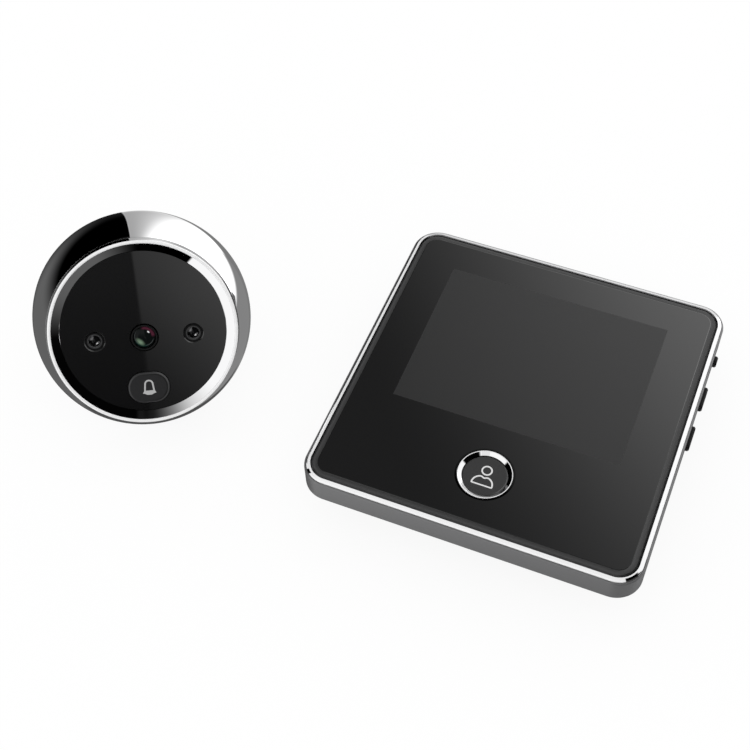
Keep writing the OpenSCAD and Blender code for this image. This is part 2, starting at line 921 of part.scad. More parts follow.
module button_ring() {
    inner = cap_r + run;
    color("gainsboro") translate([0, -button_drop, monitor_t]) rotate_extrude()
        polygon([
            [inner, -panel_t], [ring_sleeve_r, -panel_t], [ring_sleeve_r, -ring_seat],
            [ring_r, -ring_seat], [ring_r, 0], [ring_r - ring_lip_h, ring_lip_h],
            [ring_r - ring_top, ring_lip_h], [inner, -cap_sink]
        ]);
}

module main_button() {
    edge = 0.2;
    color([0.24, 0.24, 0.24]) translate([0, -button_drop, 0]) rotate_extrude()
        polygon([
            [0, cap_flange_z], [cap_flange_r, cap_flange_z],
            [cap_flange_r, cap_flange_z + cap_flange_t], [cap_r, cap_flange_z + cap_flange_t],
            [cap_r, monitor_t - cap_sink - edge], [cap_r - edge, monitor_t - cap_sink],
            [0, monitor_t - cap_sink]
        ]);
}

module main_plunger() {
    color("ivory") translate([0, -button_drop, 0])
        rod(main_plunger_r, main_plunger_z, cap_flange_z);
}

module main_switch() {
    color("silver") translate([0, -button_drop, 0]) difference() {
        block(main_switch_side, main_switch_side, main_switch_z, main_switch_z + main_switch_h);
        rod(main_plunger_r + run, main_switch_z - over, main_switch_z + main_switch_h + over);
    }
}

module button_board() {
    color("darkgreen") translate([0, -button_drop, 0])
        block(button_board_w, button_board_h, roof_top, main_switch_z);
}

module side_button(key) {
    color([0.15, 0.15, 0.16]) {
        key_bar(key, 0, key_ear_x, case_x + key_out, [key_bevel, key_bevel]);
        translate([key_ear_x, key[0] - key[1] / 2 - key_ear_y, key_z - key_h / 2 + key_r / 2])
            cube([key_ear_t, key[1] + 2 * key_ear_y, key_h - key_r]);
    }
}

module power_button() {
    side_button(KEYS[0]);
}

module up_button() {
    side_button(KEYS[1]);
}

module down_button() {
    side_button(KEYS[2]);
}

module side_plunger(key) {
    color("ivory") translate([board_x - key_plunger_in, key[0], key_z])
        rotate([0, 90, 0])
            cylinder(r = key_plunger_r, h = key_ear_x - board_x + key_plunger_in);
}

module power_plunger() {
    side_plunger(KEYS[0]);
}

module up_plunger() {
    side_plunger(KEYS[1]);
}

module down_plunger() {
    side_plunger(KEYS[2]);
}

module side_switches() {
    bore = key_plunger_in + key_travel + 0.2;
    color("dimgray") for (key = KEYS)
        translate([board_x - switch_depth, key[0], 0]) difference() {
            translate([0, -key_short / 2 - switch_wider, board_top])
                cube([switch_depth, key_short + 2 * switch_wider, key_z + switch_over - board_top]);
            translate([switch_depth - bore, 0, key_z])
                rotate([0, 90, 0])
                    cylinder(r = key_plunger_r + run, h = bore + over);
        }
}

module speaker_frame() {
    color("dimgray") translate([speaker_x, speaker_y, floor_t]) rotate_extrude()
        polygon([
            [speaker_r - speaker_wall, 0], [speaker_r, 0], [speaker_r, speaker_edge_h],
            [magnet_r + magnet_step, speaker_h], [magnet_r, speaker_h],
            [magnet_r, speaker_h + magnet_h], [0, speaker_h + magnet_h],
            [0, speaker_h - speaker_wall], [magnet_r, speaker_h - speaker_wall],
            [speaker_r - speaker_wall, 0.75 * speaker_edge_h]
        ]);
}

module speaker_cone() {
    edge_r = speaker_r - speaker_wall - fit;
    color("black") translate([speaker_x, speaker_y, floor_t]) rotate_extrude()
        polygon([
            [0, cone_h + cone_dome_h], [cone_dome_r, cone_h], [edge_r - cone_rim, 0], [edge_r, 0],
            [edge_r, cone_sheet], [edge_r - cone_rim + cone_sheet / 2, cone_sheet],
            [cone_dome_r, cone_h + cone_sheet], [0, cone_h + cone_dome_h + cone_sheet]
        ]);
}

module speaker_grille() {
    color("dimgray") translate([speaker_x, speaker_y, 0]) difference() {
        rod(grille_r, grille_z, grille_z + grille_t);
        for (ring = [0:2], i = [0:max(0, 6 * ring - 1)])
            rotate([0, 0, ring == 0 ? 0 : 60 * i / ring])
                translate([ring * grille_pitch, 0, 0])
                    rod(grille_hole_r, -over, grille_z + grille_t + over);
    }
}

module cable_socket() {
    color("ivory") translate([0, socket_y, 0]) difference() {
        block(socket_w, socket_d, cover_top - socket_h, cover_top);
        block(socket_w - 2.4, socket_d - 2.4, cover_top - socket_h - over, cover_top - 0.8);
    }
}

module case_screws() {
    color("lightgray") corners()
        translate([0, 0, case_z])
            screw(cover_plate_t + boss_bite - 0.4);
}

camera_housing();
front_ring();
camera_panel();
lens_barrel();
lens_glass();
lens_holder();
image_sensor();
ir_led_left();
ir_led_right();
led_sleeves();
bell_button();
bell_plunger();
bell_switch();
camera_board();
board_screws();
camera_connector();
camera_back_plate();
back_plate_screws();
door_barrel();
door_seal();
monitor_panel();
front_trim();
monitor_frame();
back_cover();
battery_door();
batteries();
battery_contacts();
lcd_module();
lcd_frame();
lcd_gasket();
lcd_pads();
main_board();
main_chips();
button_ring();
main_button();
main_plunger();
main_switch();
button_board();
power_button();
up_button();
down_button();
power_plunger();
up_plunger();
down_plunger();
side_switches();
speaker_frame();
speaker_cone();
speaker_grille();
cable_socket();
case_screws();
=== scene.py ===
"""Looks of a door viewer set: a round chrome camera and a square monitor on a pale floor."""

import logging
import math
from dataclasses import dataclass, field
from enum import Enum
from typing import Any, Iterable, Optional, Sequence, Union

import bmesh
import bpy
import numpy as np
from mathutils import Matrix


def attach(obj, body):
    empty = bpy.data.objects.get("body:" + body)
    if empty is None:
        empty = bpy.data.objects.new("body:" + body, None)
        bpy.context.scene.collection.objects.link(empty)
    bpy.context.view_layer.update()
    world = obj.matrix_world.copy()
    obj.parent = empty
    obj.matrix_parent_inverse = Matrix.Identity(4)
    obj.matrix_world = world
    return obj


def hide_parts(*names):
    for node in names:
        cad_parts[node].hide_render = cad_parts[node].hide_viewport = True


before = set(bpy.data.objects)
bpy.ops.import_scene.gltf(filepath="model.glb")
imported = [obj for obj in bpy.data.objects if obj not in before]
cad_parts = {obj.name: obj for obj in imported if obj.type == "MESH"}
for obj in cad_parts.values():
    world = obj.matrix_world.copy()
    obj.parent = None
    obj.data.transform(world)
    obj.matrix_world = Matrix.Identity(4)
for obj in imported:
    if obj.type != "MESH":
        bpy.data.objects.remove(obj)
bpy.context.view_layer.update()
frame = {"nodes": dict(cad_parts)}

Array = np.ndarray
Piece = bpy.types.Object
Pair = tuple[float, float]
Triple = tuple[float, float, float]
RGB = Triple
Sockets = dict[Union[str, int], Any]

MM = 0.001
MERGE = 1e-7
SLIVER = 1e-8
ORIGIN: Triple = (0.0, 0.0, 0.0)
WHITE_LIGHT = (1, 1, 1, 1)
MIRROR: RGB = (0.94, 0.94, 0.945)
# Colour of the near black matt shader that paints shadow.
SHADOW_BLACK: RGB = (0.001, 0.001, 0.001)
log = logging.getLogger("door_viewer")


class Sock:
    """A shader output that takes part in sums, products and comparisons."""

    def __init__(self, graph: "Graph", socket: Optional[bpy.types.NodeSocket]) -> None:
        """Keeps the graph and the socket."""
        self.graph = graph
        self.socket = socket

    def math(self, operation: str, *others: "Value") -> "Sock":
        """Adds one Math node on this value and the others."""
        inputs = dict(enumerate((self, *others)))
        return self.graph.node("ShaderNodeMath", {"operation": operation}, inputs)

    def __add__(self, other: "Value") -> "Sock":
        """Sum."""
        return self.math("ADD", other)

    __radd__ = __add__

    def __sub__(self, other: "Value") -> "Sock":
        """Difference."""
        return self.math("SUBTRACT", other)

    def __rsub__(self, other: float) -> "Sock":
        """Difference from a number."""
        return self.graph.node("ShaderNodeMath", {"operation": "SUBTRACT"}, {0: other, 1: self})

    def __mul__(self, other: "Value") -> "Sock":
        """Product."""
        return self.math("MULTIPLY", other)

    __rmul__ = __mul__

    def __truediv__(self, other: "Value") -> "Sock":
        """Quotient."""
        return self.math("DIVIDE", other)

    def __neg__(self) -> "Sock":
        """Opposite."""
        return self.math("MULTIPLY", -1.0)

    def __abs__(self) -> "Sock":
        """Size without the sign."""
        return self.math("ABSOLUTE")

    def hypot(self, other: "Sock") -> "Sock":
        """Length of a vector with this part and another at right angles to it."""
        return (self * self + other * other).math("SQRT")

    def step(self, low: float, high: float) -> "Sock":
        """Smooth step, rising or falling.

        Args:
            low: where the step is 0.
            high: where it is 1, above or below low.

        Returns:
            The step, from 0 to 1.
        """
        if low > high:
            return 1.0 - self.step(high, low)
        return self.graph.node(
            "ShaderNodeMapRange", {"interpolation_type": "SMOOTHSTEP"},
            {"Value": self, "From Min": low, "From Max": high, "To Min": 0.0, "To Max": 1.0},
        )

    def within(self, low: float, high: float, soft: float) -> "Sock":
        """1 between low and high, with edges of width soft."""
        return self.step(low - soft / 2, low + soft / 2) * self.step(high + soft / 2, high - soft / 2)


Value = Union[Sock, float]


def oval(x: Sock, y: Sock, rising: float, falling: float) -> Sock:
    """Distance from the origin, with (x + y) squared and (x - y) squared each times a weight."""
    return ((x + y) * (x + y) * rising + (x - y) * (x - y) * falling).math("SQRT")


def scaled(color: RGB, factor: float) -> RGB:
    """A colour made lighter or darker, up to white."""
    return tuple(min(1.0, part * factor) for part in color)


class Graph:
    """A node tree and the few ways in which nodes are added to it."""

    def __init__(self, tree: bpy.types.NodeTree) -> None:
        """Empties the tree and keeps it."""
        tree.nodes.clear()
        self.tree = tree

    def node(
        self, kind: str, settings: Optional[dict[str, Any]] = None,
        inputs: Optional[Sockets] = None, out: Union[str, int] = 0,
    ) -> Sock:
        """Adds a node of any type.

        Args:
            kind: the node's type.
            settings: attributes, set before the sockets.
            inputs: a number, a colour or a link for each named or numbered socket.
            out: the output that is wanted.

        Returns:
            That output, with no socket where the node has none.
        """
        made = self.tree.nodes.new(kind)
        for key, value in (settings or {}).items():
            setattr(made, key, value)
        for key, value in (inputs or {}).items():
            if isinstance(value, Sock):
                self.tree.links.new(value.socket, made.inputs[key])
            else:
                made.inputs[key].default_value = value
        return Sock(self, made.outputs[out] if len(made.outputs) else None)

    def place(self, turn: Sequence[float] = ORIGIN, shift: Sequence[float] = ORIGIN) -> Sock:
        """Object coordinates in millimetres, turned and shifted onto a piece.

        Args:
            turn: Euler angles in radians.
            shift: the point, in millimetres, that becomes the origin.

        Returns:
            The coordinates as a vector.
        """
        raw = self.node("ShaderNodeTexCoord", out="Object")
        mapped = self.node(
            "ShaderNodeMapping", {"vector_type": "POINT"},
            {"Vector": raw, "Scale": (1 / MM,) * 3, "Location": tuple(-s for s in shift)},
        )
        if any(turn):
            mapped = self.node(
                "ShaderNodeVectorRotate", {"rotation_type": "EULER_XYZ", "invert": True},
                {"Vector": mapped, "Rotation": tuple(turn)},
            )
        return mapped

    def split(self, vector: Sock) -> tuple[Sock, Sock, Sock]:
        """The three parts of a vector.

        Args:
            vector: the vector.

        Returns:
            Its x, y and z.
        """
        made = self.tree.nodes.new("ShaderNodeSeparateXYZ")
        self.tree.links.new(vector.socket, made.inputs[0])
        return tuple(Sock(self, made.outputs[i]) for i in range(3))

    def edge_distance(self, x: Sock, y: Sock, width: float, height: float, radius: float) -> Sock:
        """Distance outwards from a rounded rectangle about the origin, below 0 inside.

        Args:
            x: place across.
            y: place up.
            width: full width.
            height: full height.
            radius: corner radius.

        Returns:
            The distance, in the unit of x and y.
        """
        qx, qy = abs(x) - (width / 2 - radius), abs(y) - (height / 2 - radius)
        ox, oy = qx.math("MAXIMUM", 0.0), qy.math("MAXIMUM", 0.0)
        inner = qx.math("MAXIMUM", qy).math("MINIMUM", 0.0)
        return ox.hypot(oy) + inner - radius

    def noise(self, vector: Sock, size: float, detail: float = 2.0, rough: float = 0.5) -> Sock:
        """Noise from 0 to 1 with lumps of about the given size in millimetres."""
        inputs = {"Vector": vector, "Scale": 1.0 / size, "Detail": detail, "Roughness": rough}
        return self.node("ShaderNodeTexNoise", {}, inputs)

    def mix(self, factor: Value, low: Union[Sock, RGB], high: Union[Sock, RGB]) -> Sock:
        """A colour between low and high.

        Args:
            factor: 0 for low, 1 for high.
            low: a colour or a link.
            high: a colour or a link.

        Returns:
            The mixed colour.
        """
        full = [c if isinstance(c, Sock) else (*c, 1.0) for c in (low, high)]
        return self.node(
            "ShaderNodeMix", {"data_type": "RGBA", "clamp_factor": True},
            {0: factor, 6: full[0], 7: full[1]}, out=2,
        )

    def bump(self, height: Sock, depth: float, strength: float = 1.0) -> Sock:
        """A normal bent by a height from 0 to 1 that stands for depth millimetres."""
        inputs = {"Strength": strength, "Distance": depth * MM, "Height": height}
        return self.node("ShaderNodeBump", {}, inputs)


class Finish:
    """A surface finish. Subclasses say what it is made of."""

    name: str

    def material(self) -> bpy.types.Material:
        """The finish's material, made on first use. Its name keeps clear of the CAD slots' names.

        Returns:
            The material.
        """
        label = f"look_{self.name}"
        found = bpy.data.materials.get(label)
        if found is None:
            found = bpy.data.materials.new(label)
            found.use_nodes = True
            graph = Graph(found.node_tree)
            result = graph.node("ShaderNodeBsdfPrincipled", {}, self.sockets(graph))
            # Painted shadow: where the mask is 1, a near black matt shader is mixed over the finish.
            painted_shadow = self.painted_shadow(graph)
            if painted_shadow is not None:
                black = graph.node("ShaderNodeBsdfDiffuse", {}, {"Color": (*SHADOW_BLACK, 1)})
                result = graph.node("ShaderNodeMixShader", {}, {0: painted_shadow, 1: result, 2: black})
            graph.node("ShaderNodeOutputMaterial", {}, {0: result})
        return found

    def painted_shadow(self, graph: Graph) -> Optional[Sock]:
        """1 where a near black matt shader paints shadow over the finish, or None where there is none."""
        return None

    def sockets(self, graph: Graph) -> Sockets:
        """What goes into each socket of the shader."""
        raise NotImplementedError

    def dress(self, *objects: Piece) -> None:
        """Gives the objects this finish and nothing else, and reports them.

        Args:
            objects: the pieces.
        """
        for obj in objects:
            obj.data.materials.clear()
            obj.data.materials.append(self.material())
            log.info("%s is finished in %s", obj.name, self.name)


@dataclass(frozen=True)
class Moulded(Finish):
    """Moulded plastic or rubber with a fine grain and slight mottling."""

    name: str
    color: RGB
    rough: float
    grain: float = 0.25
    depth: float = 0.012
    mottle: float = 0.12
    ior: float = 1.47
    cloud: float = 9.0

    def sockets(self, graph: Graph) -> Sockets:
        """Base colour and roughness drift with wide noise, and fine noise bends the normal.

        Args:
            graph: the material's node tree.

        Returns:
            A number or a link for each socket.
        """
        at = graph.place()
        wide = graph.noise(at, self.cloud, 3.0)
        fine = graph.noise(at, self.grain, 2.0, 0.6)
        low, high = scaled(self.color, 1 - self.mottle), scaled(self.color, 1 + self.mottle)
        return {
            "Base Color": graph.mix(wide * 0.6 + fine * 0.4, low, high),
            "Roughness": self.rough + (wide - 0.5) * 0.08 + (fine - 0.5) * 0.06,
            "IOR": self.ior,
            "Normal": graph.bump(fine, self.depth),
        }


class Lay(Enum):
    """Which way the fine lines of a metal run."""

    NONE = (1.0, 1.0, 1.0)
    ALONG_EDGE = (0.03, 0.03, 1.0)
    ALONG_X = (0.03, 1.0, 1.0)


@dataclass(frozen=True)
class Metal(Finish):
    """Bare, plated or satin metal with fine lines, cloudy roughness and faint colour drift."""

    name: str
    color: RGB
    rough: float
    metal: float = 1.0
    grain: float = 0.12
    depth: float = 0.001
    drift: float = 0.04
    cloud: float = 0.04
    lay: Lay = Lay.NONE
    cloud_size: float = 7.0
    least_rough: float = 0.005

    def sockets(self, graph: Graph) -> Sockets:
        """Noise stretched along the lines gives the bump, wide noise the clouds.

        Args:
            graph: the material's node tree.

        Returns:
            A number or a link for each socket.
        """
        at = graph.place()
        lines = graph.node("ShaderNodeVectorMath", {"operation": "MULTIPLY"}, {0: at, 1: self.lay.value})
        fine = graph.noise(lines, self.grain, 3.0, 0.6)
        wide = graph.noise(at, self.cloud_size, 3.0)
        low, high = scaled(self.color, 1 - self.drift), scaled(self.color, 1 + self.drift)
        rough = self.rough + (wide - 0.5) * self.cloud
        return {
            "Base Color": graph.mix(wide * 0.5 + fine * 0.5, low, high),
            "Metallic": self.metal,
            "Roughness": rough.math("MAXIMUM", self.least_rough),
            "Normal": graph.bump(fine, self.depth),
        }


@dataclass(frozen=True)
class PrintedGlass(Finish):
    """Gloss black front glass, printed behind, with a clear matt window over the display.

    A ground band runs along its edge, with painted shade and a painted highlight line on it, and seat
    gives the y, inner and outer radius of the painted shadow ring round the button.
    """

    name: str
    color: RGB
    window: RGB
    rough: float
    window_rough: float
    centre: Pair
    size: Pair
    outline: Triple
    band: Pair
    # The ground band's own colour, darkened across the band by painted shade.
    band_color: RGB
    # Painted shade on the falling edge, darker still in the lower right corner.
    fall_shade: RGB
    # Y, inner and outer radius of the painted shadow ring round the button.
    seat: Triple
    band_rough: float = 0.55
    ior: float = 1.6
    soft: float = 0.25
    # A painted highlight line along the band's inner edge, on the right, fading out downwards.
    highlight_color: RGB = (0.1, 0.1, 0.1)
    highlight_width: float = 0.14
    highlight_rise: Pair = (-12.0, 25.0)
    # The right-hand strip, where the painted shade across the band runs the other way.
    right_strip: Pair = (4.5, 2.5)

    def inside(self, place: Sock, axis: int) -> Sock:
        """1 where a place is within the window, along one axis."""
        half = self.size[axis] / 2
        return abs(place - self.centre[axis]).step(half + self.soft / 2, half - self.soft / 2)

    def sockets(self, graph: Graph) -> Sockets:
        """A rectangle about the centre picks the window, a band along the edge the ground slope, with
        painted shade.

        Args:
            graph: the material's node tree.

        Returns:
            A number or a link for each socket.
        """
        at = graph.place()
        x, y, _ = graph.split(at)
        width, height, radius = self.outline
        start, brink = self.band
        inside = self.inside(x, 0) * self.inside(y, 1)
        outward = graph.edge_distance(x, y, width, height, radius)
        edge = outward.within(start, 1.0, 0.06)
        right = x.step(width / 2 - self.right_strip[0], width / 2 - self.right_strip[1])
        # Painted shade across the band: darker at its inner edge, and on the right darker at its outer
        # edge.
        rise = outward.step(start, brink)
        rise = rise + right * (1.0 - rise * 2.0)
        # Painted highlight line along the band's inner edge on the right.
        line = outward.within(start - self.highlight_width, start, 0.12) * right * y.step(*self.highlight_rise)
        # Painted shade on the falling edge, near black in the lower right corner.
        fall = outward.step(brink - 0.05, brink + 0.05)
        corner = right * y.step(0.0, -height / 2 + radius)
        groove = graph.mix(corner, self.fall_shade, scaled(self.fall_shade, 0.1))
        wide = graph.noise(at, 18.0, 2.0)
        fine = graph.noise(at, 0.35, 2.0)
        window = graph.mix(wide, self.window, scaled(self.window, 1.06))
        band = graph.mix(rise, scaled(self.band_color, 0.45), self.band_color)
        face = graph.mix(line, graph.mix(inside, self.color, window), self.highlight_color)
        return {
            "Base Color": graph.mix(edge, face, graph.mix(fall, band, groove)),
            "Roughness": self.rough + (fine - 0.5) * 0.01
            + inside * (self.window_rough - self.rough) + edge * (self.band_rough - self.rough),
            "IOR": self.ior,
            "Normal": graph.bump(wide, 0.002, 0.4),
        }

    def painted_shadow(self, graph: Graph) -> Optional[Sock]:
        """Painted shadow on the button's seat and a hair's breadth round it, strongest below it.

        Args:
            graph: the material's node tree.

        Returns:
            1 where the painted shadow covers the glass.
        """
        middle, inner, outer = self.seat
        x, y, _ = graph.split(graph.place())
        y = y - middle
        return x.hypot(y).within(inner, outer, 0.06) * (0.4 + y.step(2.0, -4.0) * 0.6)


@dataclass(frozen=True)
class Gloss(Finish):
    """Polished black acrylic or a clear black coat, with very slight waviness."""

    name: str
    color: RGB
    rough: float = 0.02
    ior: float = 1.55

    def sockets(self, graph: Graph) -> Sockets:
        """Wide noise tints the black, fine noise dulls it by a trace.

        Args:
            graph: the material's node tree.

        Returns:
            A number or a link for each socket.
        """
        at = graph.place()
        wide = graph.noise(at, 12.0, 2.0)
        fine = graph.noise(at, 0.3, 2.0)
        return {
            "Base Color": graph.mix(wide, self.color, scaled(self.color, 1.25)),
            "Roughness": self.rough + (fine - 0.5) * 0.01,
            "IOR": self.ior,
            "Normal": graph.bump(wide, 0.001, 0.3),
        }


@dataclass(frozen=True)
class DrilledDisc(Gloss):
    """Polished black disc with a faint painted highlight ring round each lamp's hole."""

    turn: Triple = ORIGIN
    centre: Triple = ORIGIN
    apart: float = 0.0
    # Radii and colour of the painted highlight ring round each lamp's hole.
    rim: Pair = (2.43, 2.72)
    rim_highlight: RGB = (0.02, 0.02, 0.0203)

    def sockets(self, graph: Graph) -> Sockets:
        """The distance from the nearer lamp's axis places the painted highlight ring, strongest below the
        lamp.

        Args:
            graph: the material's node tree.

        Returns:
            A number or a link for each socket.
        """
        made = super().sockets(graph)
        x, y, _ = graph.split(graph.place(self.turn, self.centre))
        far = (abs(x) - self.apart).hypot(y)
        # Painted highlight round the hole, strongest below the lamp.
        ring = far.within(*self.rim, 0.1) * (0.35 + y.step(1.5, -1.5) * 0.65)
        made["Base Color"] = graph.mix(ring, made["Base Color"], self.rim_highlight)
        return made


@dataclass(frozen=True)
class LippedChrome(Finish):
    """Polished chrome with one band turned to a bright satin. Subclasses say where it lies."""

    name: str
    lip: Pair

    def reach(self, graph: Graph) -> Sock:
        """The distance, in millimetres, on which the band is marked off."""
        raise NotImplementedError

    def satin(self, graph: Graph, far: Sock) -> Sock:
        """1 on the satin band and 0 beside it."""
        return far.within(*self.lip, 0.05)

    def tone(self, graph: Graph, satin: Sock) -> Sock:
        """The satin's colour."""
        return satin

    def mirror(self, graph: Graph, far: Sock) -> Union[Sock, RGB]:
        """The polished part's colour."""
        return MIRROR

    def sockets(self, graph: Graph) -> Sockets:
        """The distance tells the satin band, with its fine lines, from the mirror bright rest.

        Args:
            graph: the material's node tree.

        Returns:
            A number or a link for each socket.
        """
        far = self.reach(graph)
        lip = self.satin(graph, far)
        lathe = graph.node(
            "ShaderNodeTexNoise", {"noise_dimensions": "1D"}, {"W": far, "Scale": 9.0, "Detail": 3.0},
        )
        satin = self.tone(graph, graph.mix(lathe, (0.92, 0.92, 0.925), (0.98, 0.98, 0.985)))
        return {
            "Base Color": graph.mix(lip, self.mirror(graph, far), satin),
            "Metallic": 1.0 - lip * 0.86,
            "Roughness": 0.012 + lip * (0.2 + lathe * 0.12),
        }


@dataclass(frozen=True)
class RingChrome(LippedChrome):
    """Chrome of a round ring, measured from its axis."""

    turn: Triple = ORIGIN
    centre: Triple = ORIGIN
    # Angles, in radians, and colour of the painted shade on the wall outside the lip.
    wall_shade: Pair = (-0.45, 1.3)
    wall_shade_color: RGB = (0.15, 0.15, 0.152)

    def reach(self, graph: Graph) -> Sock:
        """Distance from the axis: the root of x squared plus y squared."""
        x, y, _ = graph.split(graph.place(self.turn, self.centre))
        return x.hypot(y)

    def mirror(self, graph: Graph, far: Sock) -> Union[Sock, RGB]:
        """Painted shade on the wall outside the lip, over part of the turn.

        Args:
            graph: the material's node tree.
            far: the distance from the axis.

        Returns:
            The polished part's colour.
        """
        x, y, _ = graph.split(graph.place(self.turn, self.centre))
        wall = far.step(self.lip[1] - 0.02, self.lip[1] + 0.04)
        # Painted shade over part of the turn.
        wall = wall * y.math("ARCTAN2", x).within(*self.wall_shade, 0.5)
        return graph.mix(wall, MIRROR, self.wall_shade_color)


@dataclass(frozen=True)
class TrimChrome(LippedChrome):
    """Chrome of a trim round a rounded rectangle, measured outwards from that."""

    outline: Triple = (1.0, 1.0, 0.1)
    wide: float = 0.82
    narrow: float = 0.64
    nose: float = 1.2
    soft: float = 0.05
    blend: Pair = (2.0, 2.8)
    top: float = 18.0
    # Near black chrome as a painted dark reflection in a short stretch of the near left corner.
    shaded_stretch_color: RGB = (0.02, 0.02, 0.02)
    # Painted shade down the far wall, from its lower colour to its upper one.
    far_wall_shades: tuple[RGB, RGB] = ((0.03, 0.03, 0.03), (0.58, 0.58, 0.585))

    def reach(self, graph: Graph) -> Sock:
        """Distance outwards from the rounded rectangle."""
        x, y, _ = graph.split(graph.place())
        return graph.edge_distance(x, y, *self.outline)

    def satin(self, graph: Graph, far: Sock) -> Sock:
        """The band: with the nose on three sides, without it on the left, and narrow at one corner.

        Args:
            graph: the material's node tree.
            far: the distance outwards.

        Returns:
            1 on the satin band and 0 beside it.
        """
        x, y, _ = graph.split(graph.place())
        width, height, radius = self.outline
        start, (blend, done) = self.lip[0], self.blend
        low, side = -y - (height / 2 - radius), x - (width / 2 - radius)
        shaded_stretch = self.shaded_stretch(graph)
        near = low.step(2.2, done) * (side - low * 0.65).step(0.15, -0.15)
        right = side.step(-0.1, 0.1) * low.step(-blend, -done)
        right = right * (low + height).step(radius * 2 + blend, radius * 2 + done)
        nose = (near * (1.0 - shaded_stretch) + right) * far.within(start, self.nose, self.soft)
        behind = self.away(graph) * far.within(start - 0.08, self.nose, self.soft)
        corner = side.step(-0.5, 0.5) * low.step(-done, -blend)
        plain = (1.0 - corner - shaded_stretch) * far.within(start, self.wide, self.soft)
        plain = plain + shaded_stretch * far.within(start, self.narrow, self.soft)
        nose = nose.math("MAXIMUM", behind)
        return super().satin(graph, far).math("MAXIMUM", nose).math("MAXIMUM", plain)

    def shaded_stretch(self, graph: Graph) -> Sock:
        """A short stretch of the near left corner, where the chrome carries a painted dark reflection.

        Args:
            graph: the material's node tree.

        Returns:
            1 in that stretch.
        """
        x, y, _ = graph.split(graph.place())
        width, height, radius = self.outline
        left, low = -x - (width / 2 - radius), -y - (height / 2 - radius)
        return left.step(0.0, 0.4) * (low - left * 0.2).within(3.0, 4.2, 0.2)

    def mirror(self, graph: Graph, far: Sock) -> Union[Sock, RGB]:
        """Painted dark reflection: near black chrome in the short stretch of the near left corner."""
        return graph.mix(self.shaded_stretch(graph), MIRROR, self.shaded_stretch_color)

    def away(self, graph: Graph) -> Sock:
        """1 along the far side."""
        _, y, _ = graph.split(graph.place())
        return y.step(self.outline[1] / 2 - 2.2, self.outline[1] / 2 - 0.6)

    def tone(self, graph: Graph, satin: Sock) -> Sock:
        """Painted shade along the far side: greyer satin, darker still down the wall there.

        Args:
            graph: the material's node tree.
            satin: the satin's colour elsewhere.

        Returns:
            The satin's colour.
        """
        _, _, z = graph.split(graph.place())
        # Painted shade, darker down the wall, on the far side only.
        wall = graph.mix(z.step(self.top - 0.75, self.top - 0.05), *self.far_wall_shades)
        return graph.mix(self.away(graph), satin, wall)


@dataclass(frozen=True)
class CentredFinish(Finish):
    """A finish with a pattern about a point of its own, in a turned frame."""

    name: str
    turn: Triple
    centre: Triple

    def about(self, graph: Graph) -> Sock:
        """Coordinates about the point, in millimetres."""
        return graph.place(self.turn, self.centre)


@dataclass(frozen=True)
class HighlightedCap(CentredFinish):
    """Soft black button with a painted highlight line inside its edge and a painted shade line inside that.
    """

    outline: Triple
    color: RGB = (0.016, 0.016, 0.017)
    # Colour, place and side weighting of the painted highlight line inside the edge.
    line: RGB = (0.05, 0.05, 0.051)
    band: Pair = (-0.46, -0.06)
    side: Pair = (-1.0, 1.0)
    faint: float = 0.25
    # Strength, place and colour of the painted shade line, strongest on the right.
    cut: float = 1.0
    shade_band: Pair = (-0.8, -0.46)
    shade_line_color: RGB = (0.006, 0.006, 0.0062)

    def sockets(self, graph: Graph) -> Sockets:
        """The distance from the button's outline places the painted highlight and shade lines, fine noise
        the grain.

        Args:
            graph: the material's node tree.

        Returns:
            A number or a link for each socket.
        """
        at = self.about(graph)
        x, y, _ = graph.split(at)
        half = self.outline[0] / 2
        outward = graph.edge_distance(x, y, *self.outline)
        right = x.step(self.side[0] * half, self.side[1] * half)
        # Painted highlight, fainter on the left and full on the right.
        line = outward.within(*self.band, 0.1) * (self.faint + right * (1.0 - self.faint))
        # Painted shade line, strongest on the right.
        groove = outward.within(*self.shade_band, 0.12) * right * self.cut
        fine = graph.noise(at, 0.2, 2.0)
        colour = graph.mix(line, self.color, self.line)
        return {
            "Base Color": graph.mix(groove, colour, self.shade_line_color),
            "Roughness": 0.34 + (fine - 0.5) * 0.08,
            "Normal": graph.bump(fine, 0.003),
        }


@dataclass(frozen=True)
class LampFace(CentredFinish):
    """Dark resin lamp: painted highlight rim, four-part chip with painted highlight on two sectors, painted
    glint.
    """

    radius: float
    resin: RGB = (0.003, 0.003, 0.0034)
    # Painted highlights: the rim, the chip's pale sectors and the glint.
    rim_highlight: RGB = (0.11, 0.11, 0.112)
    chip_and_highlight: RGB = (0.3, 0.3, 0.305)
    cross_color: RGB = (0.07, 0.07, 0.072)
    glint_color: RGB = (0.9, 0.9, 0.9)

    def sockets(self, graph: Graph) -> Sockets:
        """Polar coordinates place the painted highlight rim, two pale sectors and one small painted glint.

        Args:
            graph: the material's node tree.

        Returns:
            A number or a link for each socket.
        """
        x, y, _ = graph.split(self.about(graph))
        x, y = x / self.radius, y / self.radius
        far, across = x.hypot(y), x * y
        # Painted highlight ring at the lamp's edge.
        rim = far.within(0.88, 1.1, 0.08)
        # Pale sectors: the chip seen through the resin, brightened by painted highlight.
        sector = (-across).step(0.04, 0.2) * far.within(0.3, 0.92, 0.15)
        cross = across.step(0.05, 0.12) * far.within(0.1, 0.36, 0.1)
        # Painted glint.
        glint = oval(x - 0.36, y + 0.52, 0.5, 1.2).step(0.32, 0.1)
        colour = graph.mix(rim * 0.8, self.resin, self.rim_highlight)
        colour = graph.mix(sector * 0.9, colour, self.chip_and_highlight)
        colour = graph.mix(cross * 0.5, colour, self.cross_color)
        return {
            "Base Color": graph.mix(glint, colour, self.glint_color),
            "Roughness": 0.12 - far * 0.05,
            "IOR": 1.3,
        }


